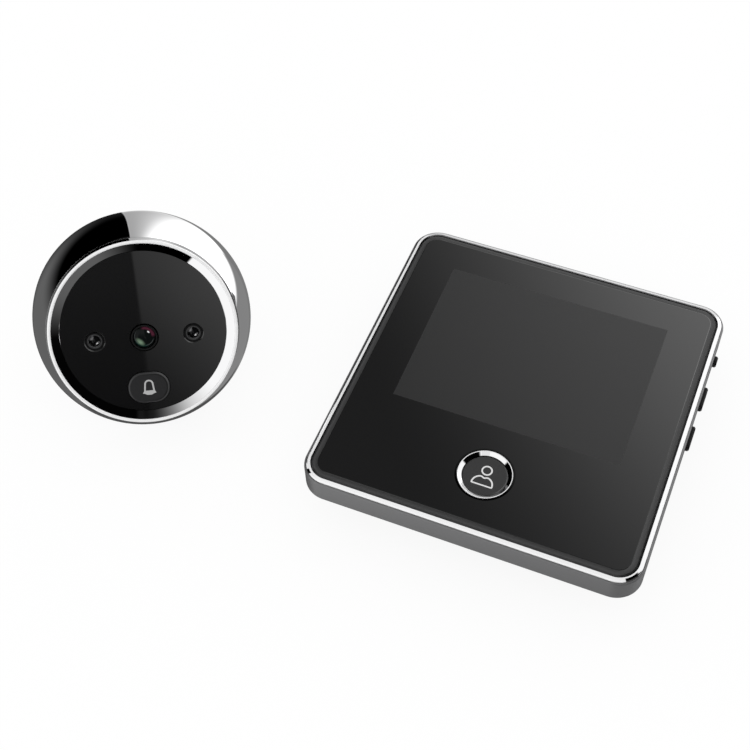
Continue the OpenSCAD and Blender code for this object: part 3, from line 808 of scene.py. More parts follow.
@dataclass(frozen=True)
class SleeveFace(CentredFinish):
    """Black sleeves of the two lamps, each with a painted highlight ring on its step and a grey bore round
    its lamp.
    """

    apart: float
    step: Pair
    bore: float
    color: RGB = (0.003, 0.003, 0.0033)
    # Colour of the painted highlight ring on the step.
    step_highlight: RGB = (0.036, 0.036, 0.037)
    bore_color: RGB = (0.11, 0.11, 0.112)

    def sockets(self, graph: Graph) -> Sockets:
        """The distance from the nearer lamp's axis places the step's painted highlight and the bore, fine
        noise the grain.

        Args:
            graph: the material's node tree.

        Returns:
            A number or a link for each socket.
        """
        at = self.about(graph)
        x, y, _ = graph.split(at)
        far = (abs(x) - self.apart).hypot(y)
        # Painted highlight ring on the step.
        colour = graph.mix(far.within(*self.step, 0.1), self.color, self.step_highlight)
        inside = far.step(self.bore + 0.03, self.bore + 0.01)
        fine = graph.noise(at, 0.2, 2.0)
        return {
            "Base Color": graph.mix(inside, colour, self.bore_color),
            "Roughness": 0.3 + (fine - 0.5) * 0.06,
            "IOR": 1.35,
            "Normal": graph.bump(fine, 0.003),
        }


@dataclass(frozen=True)
class CoatedLens(CentredFinish):
    """Front lens: near black glass with painted reflections of its coating, of a ring inside, and a glint.
    """

    radius: float
    lift: float = 0.25
    glass: RGB = (0.004, 0.005, 0.005)
    # Painted reflections: magenta arc, green rim and patch, the inner ring, and the glint.
    arc_reflection: RGB = (0.1, 0.022, 0.042)
    rim_highlight: RGB = (0.004, 0.045, 0.034)
    patch_reflection: RGB = (0.17, 0.25, 0.17)
    ring_reflection: RGB = (0.1, 0.11, 0.11)
    glint_color: RGB = (0.85, 0.85, 0.86)

    def sockets(self, graph: Graph) -> Sockets:
        """Polar coordinates about the lens place the painted reflections: an arc, a patch and a thin
        circle.

        Args:
            graph: the material's node tree.

        Returns:
            A number or a link for each socket.
        """
        at = self.about(graph)
        x, y, _ = graph.split(at)
        x, y = x / self.radius, (y - self.lift) / self.radius
        far, angle = x.hypot(y), y.math("ARCTAN2", x)
        cloud = graph.noise(at, 0.7, 2.0)
        # Painted reflections of the coating and of a ring inside, then a painted glint.
        arch = far.within(0.70, 1.04, 0.14) * angle.within(0.0, 1.75, 0.4)
        rim = far.within(0.80, 1.0, 0.2) * angle.within(-2.7, -1.3, 0.6)
        spot = oval(x + 0.40, y + 0.50, 1.5, 0.42).step(0.58, 0.1)
        ring = abs(angle).step(2.0, 2.9) * 0.8 + angle.within(-1.5, -0.4, 0.5)
        ring = far.within(0.86, 0.92, 0.04) * ring
        glint = oval(x - 0.42, y - 0.42, 2.6, 0.7).step(0.2, 0.07)
        colour = graph.mix(arch * 0.85, self.glass, self.arc_reflection)
        colour = graph.mix(rim * 0.5, colour, self.rim_highlight)
        colour = graph.mix(spot * (0.35 + cloud * 0.9), colour, self.patch_reflection)
        colour = graph.mix(ring * 0.6, colour, self.ring_reflection)
        colour = graph.mix(glint, colour, self.glint_color)
        return {"Base Color": colour, "Roughness": 0.03 + far * 0.01, "IOR": 1.2}


@dataclass(frozen=True)
class CircuitBoard(Finish):
    """Solder mask with copper lines under it and small plated pads."""

    name: str
    color: RGB
    pad_color: RGB = (0.62, 0.58, 0.5)

    def sockets(self, graph: Graph) -> Sockets:
        """Cells of a square pattern give the lines, dots of another the pads.

        Args:
            graph: the material's node tree.

        Returns:
            A number or a link for each socket.
        """
        at = graph.place()
        cells = graph.node(
            "ShaderNodeTexVoronoi", {"feature": "DISTANCE_TO_EDGE"}, {"Vector": at, "Scale": 0.35},
        )
        dots = graph.node("ShaderNodeTexVoronoi", {"feature": "F1"}, {"Vector": at, "Scale": 0.45})
        lines, pads = cells.step(0.10, 0.06), dots.step(0.22, 0.16)
        colour = graph.mix(lines, self.color, scaled(self.color, 1.8))
        return {
            "Base Color": graph.mix(pads, colour, self.pad_color),
            "Metallic": pads * 0.8,
            "Roughness": 0.38 - pads * 0.1,
            "Normal": graph.bump(lines + pads, 0.03),
        }


@dataclass(frozen=True)
class CellJacket(Finish):
    """Printed jacket of a cell: a dark body and a copper band at one end, steel at the ends."""

    name: str
    body: RGB
    band: RGB
    half: float
    steel: RGB = (0.6, 0.6, 0.61)

    def sockets(self, graph: Graph) -> Sockets:
        """The place along the cell picks body, band or bare steel.

        Args:
            graph: the material's node tree.

        Returns:
            A number or a link for each socket.
        """
        at = graph.place()
        x, _, _ = graph.split(at)
        fine = graph.noise(at, 0.4, 2.0)
        ends = abs(x).step(self.half - 1.6, self.half - 1.4)
        band = abs(x).step(self.half * 0.55, self.half * 0.56)
        colour = graph.mix(band, self.body, self.band)
        return {
            "Base Color": graph.mix(ends, colour, self.steel),
            "Metallic": ends * 0.9 + band * 0.6 * (1.0 - ends),
            "Roughness": 0.3 + (fine - 0.5) * 0.08,
            "Normal": graph.bump(fine, 0.004),
        }


@dataclass
class Shell:
    """Points and quads of a surface worked out on a grid, in millimetres."""

    points: Array
    quads: Array

    @staticmethod
    def grid(points: Array, wrap_rows: bool = False, wrap_columns: bool = False) -> "Shell":
        """Joins neighbouring points of a grid by quads.

        Args:
            points: rows by columns by 3.
            wrap_rows: whether the last row joins the first.
            wrap_columns: whether the last column joins the first.

        Returns:
            The surface.
        """
        rows, columns = points.shape[:2]
        index = np.arange(rows * columns).reshape(rows, columns)
        if wrap_rows:
            index = np.concatenate([index, index[:1]], axis=0)
        if wrap_columns:
            index = np.concatenate([index, index[:, :1]], axis=1)
        quads = np.stack([index[:-1, :-1], index[:-1, 1:], index[1:, 1:], index[1:, :-1]], axis=-1)
        return Shell(points.reshape(-1, 3), quads.reshape(-1, 4))

    @staticmethod
    def revolve(profile: Array, steps: int = 160, closed: bool = True) -> "Shell":
        """Turns a profile of radius and height about the z axis: (r cos t, r sin t, z).

        Args:
            profile: points by 2.
            steps: pieces of the turn.
            closed: whether the profile joins its start.

        Returns:
            The surface.
        """
        turn = np.linspace(0.0, 2 * np.pi, steps, endpoint=False)
        r, z = profile[:, :1], profile[:, 1:]
        points = np.stack([r * np.cos(turn), r * np.sin(turn), z + 0 * turn], axis=-1)
        return Shell.grid(points, wrap_rows=closed, wrap_columns=True)

    def join(self, other: "Shell") -> "Shell":
        """This surface and another as one."""
        quads = np.concatenate([self.quads, other.quads + len(self.points)])
        return Shell(np.concatenate([self.points, other.points]), quads)

    def moved(self, turn: Array, shift: Array) -> "Shell":
        """This surface turned by a matrix, then shifted."""
        return Shell(self.points @ np.asarray(turn).T + np.asarray(shift), self.quads)

    def shifted(self, x: float, y: float, z: float) -> "Shell":
        """This surface shifted."""
        return self.moved(np.eye(3), np.array([x, y, z]))

    def piece(self, name: str, crease: float = 32.0) -> Piece:
        """Makes the surface an object, smooth apart from creases, with its faces outwards.

        Args:
            name: the piece's name.
            crease: angle in degrees from which an edge stays sharp.

        Returns:
            The object.
        """
        mesh = bpy.data.meshes.new(name)
        mesh.from_pydata((self.points * MM).tolist(), [], self.quads.tolist())
        work = bmesh.new()
        work.from_mesh(mesh)
        bmesh.ops.remove_doubles(work, verts=work.verts, dist=MERGE)
        bmesh.ops.dissolve_degenerate(work, edges=work.edges, dist=SLIVER)
        bmesh.ops.recalc_face_normals(work, faces=work.faces)
        work.to_mesh(mesh)
        work.free()
        mesh.polygons.foreach_set("use_smooth", np.ones(len(mesh.polygons), bool))
        mesh.set_sharp_from_angle(angle=math.radians(crease))
        obj = bpy.data.objects.new(name, mesh)
        bpy.context.scene.collection.objects.link(obj)
        return obj


def arc(centre: Pair, radius: float, start: float, end: float, steps: int = 10) -> Array:
    """Points on a circle from one angle, in degrees, to another: centre + radius (cos, sin)."""
    angle = np.radians(np.linspace(start, end, steps + 1))
    return np.stack([centre[0] + radius * np.cos(angle), centre[1] + radius * np.sin(angle)], axis=-1)


def rounded(
    corner: Sequence[float], before: Sequence[float], after: Sequence[float], cut: float, steps: int = 5
) -> Array:
    """Rounds a profile's corner: a curve from the point cut before it to the point cut after it.

    One more point a little way out at each end keeps the flats beside the curve flat in their shading.

    Args:
        corner: the corner point.
        before: a point on the way in.
        after: a point on the way out.
        cut: how far from the corner the curve starts and ends.
        steps: pieces of the curve.

    Returns:
        Points of a parabola with the corner as its control point, between the two further points.
    """
    hold = 1.25
    c, b, a = (np.asarray(p, float) for p in (corner, before, after))
    back = (b - c) / np.linalg.norm(b - c) * cut
    on = (a - c) / np.linalg.norm(a - c) * cut
    t = np.linspace(0.0, 1.0, steps + 1)[:, None]
    curve = c + (1 - t) ** 2 * back + t ** 2 * on
    return np.concatenate([[c + hold * back], curve, [c + hold * on]])


def round_rectangle(
    width: float, height: float, radius: float, offset: Array, steps: int = 24, straight: int = 20
) -> Array:
    """Closed paths round a rounded rectangle, one for each offset outwards from it.

    Each corner point is the corner's centre + (radius + offset) (cos t, sin t), and straight
    lines join the corners.

    Args:
        width: full width of the rectangle.
        height: full height.
        radius: corner radius at offset 0.
        offset: outward offsets, one a path.
        steps: pieces of each corner.
        straight: pieces of each side.

    Returns:
        Offsets by points by 2.
    """
    turn = np.linspace(0.0, np.pi / 2, steps + 1) + np.arange(4)[:, None] * np.pi / 2
    middle = np.array([[1, 1], [-1, 1], [-1, -1], [1, -1]]) * [width / 2 - radius, height / 2 - radius]
    reach = (radius + np.asarray(offset, float))[:, None, None, None]
    bends = middle[:, None] + reach * np.stack([np.cos(turn), np.sin(turn)], axis=-1)
    t = np.linspace(0.0, 1.0, straight + 1)[1:-1, None]
    ahead = np.roll(bends[:, :, :1], -1, axis=1)
    lines = bends[:, :, -1:] * (1 - t) + ahead * t
    return np.concatenate([bends, lines], axis=2).reshape(len(bends), -1, 2)


def raised(flat: Array, height: Array) -> Array:
    """Rows of plane points, each row at its own height."""
    level = np.broadcast_to(np.asarray(height)[:, None, None], (*flat.shape[:2], 1))
    return np.concatenate([flat, level], axis=-1)


def bar(left: Array, right: Array, low: float, high: float, closed: bool = False) -> Shell:
    """A flat bar between two plane paths with as many points each.

    Its four long edges are the two paths at the two heights, and an open bar gets its two ends.

    Args:
        left: one path, points by 2.
        right: the other path.
        low: height of its underside.
        high: height of its face.
        closed: whether the paths join their starts.

    Returns:
        The closed surface.
    """
    around = raised(np.stack([left, left, right, right]), np.array([low, high, high, low]))
    shell = Shell.grid(around, wrap_rows=True, wrap_columns=closed)
    if closed:
        return shell
    first = np.arange(4) * len(left)
    last = first + len(left) - 1
    ends = np.stack([first, last[[0, 3, 2, 1]]])
    return Shell(shell.points, np.concatenate([shell.quads, ends]))


def ribbon(path: Array, width: float, low: float, high: float, closed: bool) -> Shell:
    """A flat bar of constant width along a plane path, from low to high.

    The sides are path +- width / 2 times the path's normal.

    Args:
        path: points by 2.
        width: the bar's width.
        low: height of its underside.
        high: height of its face.
        closed: whether the path joins its start.

    Returns:
        The closed surface.
    """
    if closed:
        along = np.roll(path, -1, axis=0) - np.roll(path, 1, axis=0)
    else:
        along = np.gradient(path, axis=0)
    along = along / np.linalg.norm(along, axis=1, keepdims=True)
    side = np.stack([-along[:, 1], along[:, 0]], axis=-1) * width / 2
    return bar(path + side, path - side, low, high, closed)


CHROME_SHELL = Metal("chromed_shell", (0.93, 0.93, 0.935), 0.015, depth=0.0001, drift=0.012, cloud=0.012)
SATIN = Metal(
    "satin_case", (0.185, 0.185, 0.188), 0.42, metal=0.55, grain=0.1, depth=0.004, drift=0.06,
    lay=Lay.ALONG_EDGE,
)
NICKEL = Metal("nickel_tube", (0.62, 0.6, 0.57), 0.22, grain=0.2, depth=0.003)
STEEL = Metal("zinc_screws", (0.55, 0.55, 0.57), 0.32, grain=0.1, depth=0.004)
SHEET = Metal("tray_sheet", (0.55, 0.55, 0.56), 0.35, grain=0.15, depth=0.003, lay=Lay.ALONG_X)
CONTACT = Metal("plated_contacts", (0.78, 0.66, 0.36), 0.28, grain=0.15)
BACK = Moulded("back_plastic", (0.03, 0.03, 0.032), 0.52, grain=0.35, depth=0.02)
SOFT_BLACK = Moulded("soft_black", (0.012, 0.012, 0.013), 0.42)
BARREL = Moulded("barrel_black", (0.003, 0.003, 0.0033), 0.3, depth=0.004)
KEYS = Moulded("key_plastic", (0.009, 0.009, 0.0093), 0.3, depth=0.004, ior=1.2)
RUBBER = Moulded("rubber", (0.022, 0.022, 0.022), 0.75, grain=0.3, depth=0.02)
WHITE = Moulded("white_plastic", (0.72, 0.7, 0.63), 0.45)
SWITCH = Moulded("switch_body", (0.055, 0.055, 0.06), 0.4)
PRINT = Moulded("white_print", (0.74, 0.74, 0.74), 0.5, grain=0.15, depth=0.002, mottle=0.04)
BELL_PRINT = Moulded("grey_print", (0.43, 0.43, 0.43), 0.5, grain=0.15, depth=0.002, mottle=0.05)
BOARD = CircuitBoard("circuit_board", (0.012, 0.07, 0.03))
CELLS = CellJacket("cell_jacket", (0.03, 0.03, 0.033), (0.5, 0.26, 0.09), 22.25)
DISPLAY = Gloss("display_face", (0.02, 0.02, 0.022), 0.25, 1.5)


def stand_in(piece: Piece, finish: Finish, node: str) -> None:
    """Dresses a piece of the case that is shown in place of a CAD node.

    Args:
        piece: the piece.
        finish: its finish.
        node: the CAD node's name.
    """
    finish.dress(piece)
    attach(piece, "case")
    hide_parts(node)
    log.info("%s stands for %s", piece.name, node)


def put_sign(sign: Piece, finish: Finish, body: str) -> None:
    """Dresses a printed sign that moves with a button.

    Args:
        sign: the sign.
        finish: its finish.
        body: the button's body.
    """
    finish.dress(sign)
    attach(sign, body)
    log.info("%s moves with %s", sign.name, body)


def dress_nodes(nodes: dict[str, Piece], finishes: Iterable[tuple[Finish, str]]) -> None:
    """Gives CAD nodes their finishes.

    Args:
        nodes: the CAD nodes by name.
        finishes: each finish, with its nodes' names in one line.
    """
    for finish, names in finishes:
        finish.dress(*(nodes[name] for name in names.split()))


@dataclass
class CrispShading:
    """A modifier that shades CAD nodes smooth apart from their real edges."""

    angle: float = 28.0
    merge: float = 1e-6
    group: Optional[bpy.types.NodeTree] = field(default=None, init=False)

    def build(self) -> None:
        """Merges the loose triangles, shades faces smooth and sharpens edges above the angle."""
        self.group = bpy.data.node_groups.new("crisp_shading", "GeometryNodeTree")
        for way in ("INPUT", "OUTPUT"):
            self.group.interface.new_socket("Geometry", in_out=way, socket_type="NodeSocketGeometry")
        graph = Graph(self.group)
        start = graph.node("NodeGroupInput")
        merged = graph.node("GeometryNodeMergeByDistance", {}, {"Geometry": start, "Distance": self.merge})
        smooth = graph.node(
            "GeometryNodeSetShadeSmooth", {"domain": "FACE"}, {"Geometry": merged, "Shade Smooth": True},
        )
        sharp = graph.node(
            "FunctionNodeCompare", {"data_type": "FLOAT", "operation": "GREATER_THAN"},
            {0: graph.node("GeometryNodeInputMeshEdgeAngle"), 1: math.radians(self.angle)},
        )
        done = graph.node(
            "GeometryNodeSetShadeSmooth", {"domain": "EDGE"},
            {"Geometry": smooth, "Selection": sharp, "Shade Smooth": False},
        )
        graph.node("NodeGroupOutput", {}, {0: done})

    def add(self, *objects: Piece) -> None:
        """Adds the modifier to the objects."""
        for obj in objects:
            obj.modifiers.new("crisp_shading", "NODES").node_group = self.group


@dataclass
class CameraUnit:
    """The round outdoor camera, in its own frame: z out of the door, y up, x right."""

    housing_r: float = 28.8
    housing_wall: float = 2.2
    housing_front: float = 15.0
    fit: float = 0.1
    spigot_wall: float = 1.1
    ledge: Pair = (1.4, 1.0)
    ring_r: float = 24.2
    ring_face: float = 16.8
    ring_lip: float = 0.85
    ring_crown: float = 0.24
    ring_flare: float = 0.38
    disc_r: float = 21.2
    disc_face: float = 15.4
    disc_back: float = 13.4
    lens_y: float = -1.5
    lens_r: float = 2.75
    lens_seat: float = 14.5
    lens_edge: float = 0.6
    lens_bulge: float = 0.7
    lamp_x: float = 12.6
    lamp_r: float = 1.5
    sleeve_step: Pair = (1.66, 1.9)
    bell_y: float = -15.0
    bell_face: float = 15.9
    bell_outline: Triple = (10.6, 8.3, 3.95)
    sign_line: float = 0.42
    sign_half: float = 0.03
    tube_r: float = 7.0
    tube_bore: float = 4.75
    tube_len: float = 30.4
    tube_chamfer: float = 0.4
    thread_depth: float = 0.38
    thread_pitch: float = 1.0
    thread_end: float = -5.0
    neck_r: float = 7.5
    neck_end: float = -1.2
    flange_r: float = 10.5
    flange_z: Pair = (2.0, 4.0)
    turn: float = math.radians(36.0)
    roll: float = math.radians(-7.0)
    at: Pair = (-101.0, -17.2)

    @property
    def tilt(self) -> float:
        """The lean of a unit that lies on its rear edge and on the end of its tube."""
        return math.atan((self.housing_r - self.tube_r) / (self.tube_len - self.tube_chamfer))

    @property
    def matrix(self) -> Matrix:
        """The unit's rotation in the row frame."""
        lean = Matrix.Rotation(math.pi / 2 - self.tilt, 3, "X")
        return Matrix.Rotation(self.turn, 3, "Z") @ lean @ Matrix.Rotation(self.roll, 3, "Z")

    @property
    def centre(self) -> Array:
        """The unit's origin in the row frame."""
        return np.array([*self.at, self.housing_r * math.cos(self.tilt)])

    def set_down(self, shell: Shell) -> Shell:
        """Takes a surface from the unit's frame to the row frame."""
        return shell.moved(np.array(self.matrix), self.centre)

    def spot(self, x: float, y: float, z: float) -> Triple:
        """A point of the unit's frame in the row frame."""
        return tuple(self.centre + np.array(self.matrix) @ np.array([x, y, z]))

    def dome(self) -> Piece:
        """The chromed shell: a sphere's belt outside, a smaller one inside, flat at both ends.

        Returns:
            The piece.
        """
        bore = self.disc_r + self.fit + self.spigot_wall + self.fit
        inner = self.housing_r - self.housing_wall
        top = math.degrees(math.asin(self.housing_front / self.housing_r))
        reach = math.sqrt(inner ** 2 - bore ** 2)
        outside = arc((0, 0), self.housing_r, 0.0, top - 0.25, 60)
        edge = arc((0, 0), self.housing_r, 0.0, top, 1)[-1]
        lip = rounded(edge, outside[-1], (bore, self.housing_front), 0.02)
        inside = arc((0, 0), inner, math.degrees(math.atan2(reach, bore)), 0.0, 40)
        profile = np.concatenate([outside, lip, [[bore, self.housing_front]], inside])
        return self.set_down(Shell.revolve(profile, 224)).piece("dome_shell")

    def front_ring(self) -> Piece:
        """The ring: a crowned lip, a slope down to the disc, a ledge and a spigot behind.

        The lip is an arc whose radius is (half squared + crown squared) / (2 crown).

        Returns:
            The piece.
        """
        bore = self.disc_r + self.fit
        spigot = bore + self.spigot_wall
        half = self.ring_lip / 2
        crown = (half ** 2 + self.ring_crown ** 2) / (2 * self.ring_crown)
        swing = math.degrees(math.asin(half / crown))
        lip = arc((self.ring_r - half, self.ring_face - crown), crown, 90 - swing, 90 + swing, 18)
        foot = (bore, self.disc_face + self.fit)
        ledge, back = bore - self.ledge[0], self.disc_back - self.ledge[1]
        profile = np.concatenate([
            [[ledge, back], [spigot, back], [spigot, self.housing_front]],
            [[self.ring_r + self.ring_flare, self.housing_front]],
            lip[:-1],
            rounded(lip[-1], lip[-2], foot, 0.04, 3),
            [foot, (bore, self.disc_back), (ledge, self.disc_back)],
        ])
        return self.set_down(Shell.revolve(profile, 224)).piece("bezel_ring", 24.0)

    def lens(self) -> Piece:
        """The front lens: a cap of a sphere on a short cylinder, flat behind.

        The sphere's radius is (lens radius squared + bulge squared) / (2 bulge).

        Returns:
            The piece.
        """
        ball = (self.lens_r ** 2 + self.lens_bulge ** 2) / (2 * self.lens_bulge)
        front = self.lens_seat + self.lens_edge
        swing = math.degrees(math.asin(self.lens_r / ball))
        cap = arc((0, front + self.lens_bulge - ball), ball, 90 - swing, 90.0, 20)
        profile = np.concatenate([[[0, self.lens_seat], [self.lens_r, self.lens_seat]], cap])
        shell = Shell.revolve(profile, 96, closed=False).shifted(0, self.lens_y, 0)
        return self.set_down(shell).piece("lens_front", 40.0)

    def bell_sign(self) -> Piece:
        """A plain bell: an arched outline with a filled, flared rim.

        The sides lean in by a straight line, the top is half a circle, and the rim's lower edge
        bulges by a flat-topped curve, exp(-(t / width) to the fourth).

        Returns:
            The piece.
        """
        foot, shoulder, half, lean = -0.75, 0.95, 1.18, 0.19
        low, high = self.bell_face - self.sign_half, self.bell_face + self.sign_half
        up = np.linspace(foot, shoulder, 10)
        left = np.stack([lean * (up - foot) / (shoulder - foot) - half, up], axis=-1)
        top = arc((0, shoulder + 0.03), half - lean, 180.0, 0.0, 16)
        right = left[::-1] * [-1, 1]
        outline = ribbon(np.concatenate([left[:-1], top, right[1:]]), self.sign_line, low, high, False)
        t = np.linspace(-1.0, 1.0, 25)
        upper = np.stack([t * 1.36, np.full_like(t, foot + 0.01)], axis=-1)
        lower = np.stack([t * 1.76, -1.48 - 0.44 * np.exp(-(t / 0.62) ** 4)], axis=-1)
        rim = bar(upper, lower, low, high + 0.004)
        return self.set_down(outline.join(rim).shifted(0, self.bell_y, 0)).piece("bell_sign")

    def tube(self) -> Piece:
        """The threaded tube: a bore, a flange, a shoulder and an outside with a helical groove.

        The outside's radius is tube_r less the groove's depth times a triangle wave of
        height over pitch less angle over a full turn, faded out at both ends.

        Returns:
            The piece.
        """
        start = -self.tube_len
        low, high = self.flange_z
        z = np.linspace(start, self.neck_end, 420)[:, None]
        angle = np.linspace(0, 2 * np.pi, 96, endpoint=False)[None, :]
        wave = np.abs(((z / self.thread_pitch - angle / (2 * np.pi)) % 1.0) * 2 - 1)
        fade = np.clip((z - start) / 0.6, 0, 1) * np.clip((self.thread_end - z) / 1.2, 0, 1)
        shave = np.clip(start + self.tube_chamfer - z, 0, self.tube_chamfer)

        def hoops(radius: Union[Array, float], height: Union[Array, float]) -> Array:
            """Circles as rows of the grid."""
            return np.stack(
                [radius * np.cos(angle), radius * np.sin(angle), height + 0 * angle], axis=-1
            )

        rows = [
            hoops(self.tube_bore, start),
            hoops(self.tube_r - self.thread_depth * wave * fade - shave, z),
            hoops(self.neck_r, self.neck_end), hoops(self.neck_r, low),
            hoops(self.flange_r, low), hoops(self.flange_r, high), hoops(self.tube_bore, high),
        ]
        shell = Shell.grid(np.concatenate(rows), wrap_rows=True, wrap_columns=True)
        return self.set_down(shell).piece("door_tube", 50.0)

    def build(self, nodes: dict[str, Piece]) -> None:
        """Makes the unit's own pieces and gives every finish.

        Args:
            nodes: the CAD nodes by name.
        """
        eulers = tuple(self.matrix.to_euler("XYZ"))
        middle = self.spot(0, self.lens_y, self.disc_face)
        # Lens with painted reflections and a painted glint.
        glass = CoatedLens("coated_lens", eulers, self.spot(0, self.lens_y, self.lens_seat), self.lens_r)
        lip = (self.ring_r - self.ring_lip, self.ring_r)
        # Ring chrome with painted shade on its wall over part of the turn.
        bezel = RingChrome("bezel_chrome", lip, eulers, self.spot(0, 0, 0))
        # Bell button with painted highlight and shade lines inside its edge.
        bell = HighlightedCap("bell_cap", eulers, self.spot(0, self.bell_y, self.bell_face), self.bell_outline)
        # Lamps with painted highlights and glints.
        lamps = [
            LampFace(f"lamp_face_{side}", eulers, self.spot(x, self.lens_y, self.disc_face), self.lamp_r)
            for side, x in (("left", -self.lamp_x), ("right", self.lamp_x))
        ]
        # Sleeves with painted highlight rings on their steps.
        sleeves = SleeveFace(
            "lamp_sleeves", eulers, middle, self.lamp_x, self.sleeve_step, self.lamp_r + self.fit,
        )
        # Disc with painted highlight rings round the lamp holes.
        disc = DrilledDisc("black_disc", (0.004, 0.004, 0.0042), 0.015, 1.6, eulers, middle, self.lamp_x)
        stand_in(self.dome(), CHROME_SHELL, "camera_housing")
        stand_in(self.front_ring(), bezel, "front_ring")
        stand_in(self.lens(), glass, "lens_glass")
        stand_in(self.tube(), NICKEL, "door_barrel")
        put_sign(self.bell_sign(), BELL_PRINT, "bell_button")
        dress_nodes(nodes, (
            (disc, "camera_panel"),
            (SOFT_BLACK, "lens_holder"),
            (BARREL, "lens_barrel"),
            (sleeves, "led_sleeves"),
            (lamps[0], "ir_led_left"),
            (lamps[1], "ir_led_right"),
            (bell, "bell_button"),
            (WHITE, "bell_plunger camera_connector"),
            (SWITCH, "bell_switch image_sensor"),
            (BOARD, "camera_board"),
            (STEEL, "board_screws back_plate_screws"),
            (BACK, "camera_back_plate"),
            (RUBBER, "door_seal"),
        ))


@dataclass
class Monitor:
    """The square indoor monitor, in the row frame."""

    panel: Triple = (85.0, 86.5, 5.3)
    panel_low: float = 16.5
    face: float = 18.0
    fit: float = 0.1
    slope: Pair = (1.9, 0.13)
    fall: Pair = (0.6, 0.5)
    facet: Pair = (0.12, 0.035)
    trim_low: float = 16.9
    trim_slope: Pair = (0.74, 0.27)
    trim_lip: Pair = (0.14, 0.46)
    nose_r: float = 0.45
    screen: Pair = (60.96, 45.72)
    screen_y: float = 9.8
    button_y: float = -27.6
    ring_r: float = 7.05
    ring_lip: float = 0.55
    ring_seat: float = 0.4
    ring_gap: float = 0.2
    ring_top: float = 0.28
    ring_rise: float = 0.06
    # How far the painted shadow round the button's ring reaches inside and outside it.
    ring_shadow: Pair = (0.6, 0.36)
    cap_sink: float = 0.6
    cap_r: float = 5.75
    cap_gap: float = 0.15
    sign_line: float = 0.4
    sign_half: float = 0.03

    @property
    def cap_face(self) -> float:
        """Height of the button cap's face."""
        return self.face - self.cap_sink

    def swept(self, profile: Array) -> Array:
        """Rows of points: a profile of offset and height carried round the panel's edge."""
        return raised(round_rectangle(*self.panel, profile[:, 0]), profile[:, 1])

    def front_panel(self) -> Piece:
        """The front glass: a flat face from the button's hole out to a banded, falling edge.

        The hole's rows are circles, each point in the direction of the edge point that it joins.

        Returns:
            The piece.
        """
        wide, drop = self.slope
        brink = (-self.fall[0], self.face - drop)
        foot = (0.0, brink[1] - self.fall[1])
        outer = self.swept(np.concatenate([
            [[-wide, self.face], [self.facet[0] - wide, self.face - self.facet[1]]],
            rounded(brink, (-wide, self.face), foot, 0.1, 4),
            rounded(foot, brink, (0.0, self.panel_low), 0.06, 3),
            [[0.0, self.panel_low]],
        ]))
        away = outer[0, :, :2] - [0.0, self.button_y]
        away = away / np.linalg.norm(away, axis=1, keepdims=True)
        hole, seat = self.ring_r - self.ring_lip + self.fit, self.ring_r + self.ring_gap
        step = self.face - self.ring_seat
        circles = away * np.array([hole, hole, seat, seat])[:, None, None] + [0.0, self.button_y]
        inner = raised(circles, np.array([self.panel_low, step, step, self.face]))
        return Shell.grid(np.concatenate([inner, outer]), True, True).piece("front_glass", 8.0)

    def trim(self) -> Piece:
        """The bright trim: a slope from the panel's edge, a rounded nose and a short wall.

        Returns:
            The piece.
        """
        wide, drop = self.trim_slope
        lean = math.atan2(wide, drop)
        end = (self.fit + wide, self.face - drop)
        middle = (end[0] - self.nose_r * math.cos(lean), end[1] - self.nose_r * math.sin(lean))
        nose = arc(middle, self.nose_r, 0.0, math.degrees(lean), 12)
        peak = rounded((self.fit, self.face), end, (self.fit, self.trim_low), 0.06, 3)
        out = middle[0] + self.nose_r
        profile = np.concatenate([[[self.fit, self.trim_low], [out, self.trim_low]], nose, peak])
        return Shell.grid(self.swept(profile), True, True).piece("bright_trim", 40.0)

    def button_ring(self) -> Piece:
        """The button's ring: a flange in the panel, a narrow top and a slope down to the cap.

        Returns:
            The piece.
        """
        inner, sleeve = self.cap_r + self.cap_gap, self.ring_r - self.ring_lip
        seat, brow = (self.ring_r, -self.ring_seat), (self.ring_r, self.ring_rise)
        top, foot = (self.ring_r - self.ring_top, self.ring_rise), (inner, -self.cap_sink)
        depth = self.panel_low - self.face
        profile = np.concatenate([
            [[inner, depth], [sleeve, depth], [sleeve, -self.ring_seat], seat],
            rounded(brow, seat, top, 0.06, 4),
            rounded(top, brow, foot, 0.03, 3),
            [foot],
        ])
        shell = Shell.revolve(profile, 160).shifted(0, self.button_y, self.face)
        return shell.piece("button_bezel", 30.0)

    def person_sign(self) -> Piece:
        """A plain person: a ring for the head, and shoulders as half an ellipse that dips at the neck.

        The dip is a bell curve, exp(-(across / width) squared), below the ellipse.

        Returns:
            The piece.
        """
        middle, half, rise, base = 0.06, 2.66, 2.6, -2.98
        low, high = self.cap_face - self.sign_half, self.cap_face + self.sign_half
        round_head = arc((middle, 1.41), 1.24, 0.0, 360.0, 40)[:-1]
        t = np.linspace(0.0, np.pi, 48)
        across = half * np.cos(t)
        dip = 0.5 * np.exp(-(across / 0.62) ** 2)
        arch = np.stack([across + middle, base + rise * np.sin(t) ** 0.85 - dip], axis=-1)
        along = np.linspace(middle - half, middle + half, 18)[1:-1]
        bottom = np.stack([along, np.full(len(along), base - 0.02)], axis=-1)
        head = ribbon(round_head, self.sign_line, low, high, True)
        body = ribbon(np.concatenate([arch, bottom]), self.sign_line, low, high, True)
        return head.join(body).shifted(0, self.button_y + 0.1, 0).piece("person_sign")

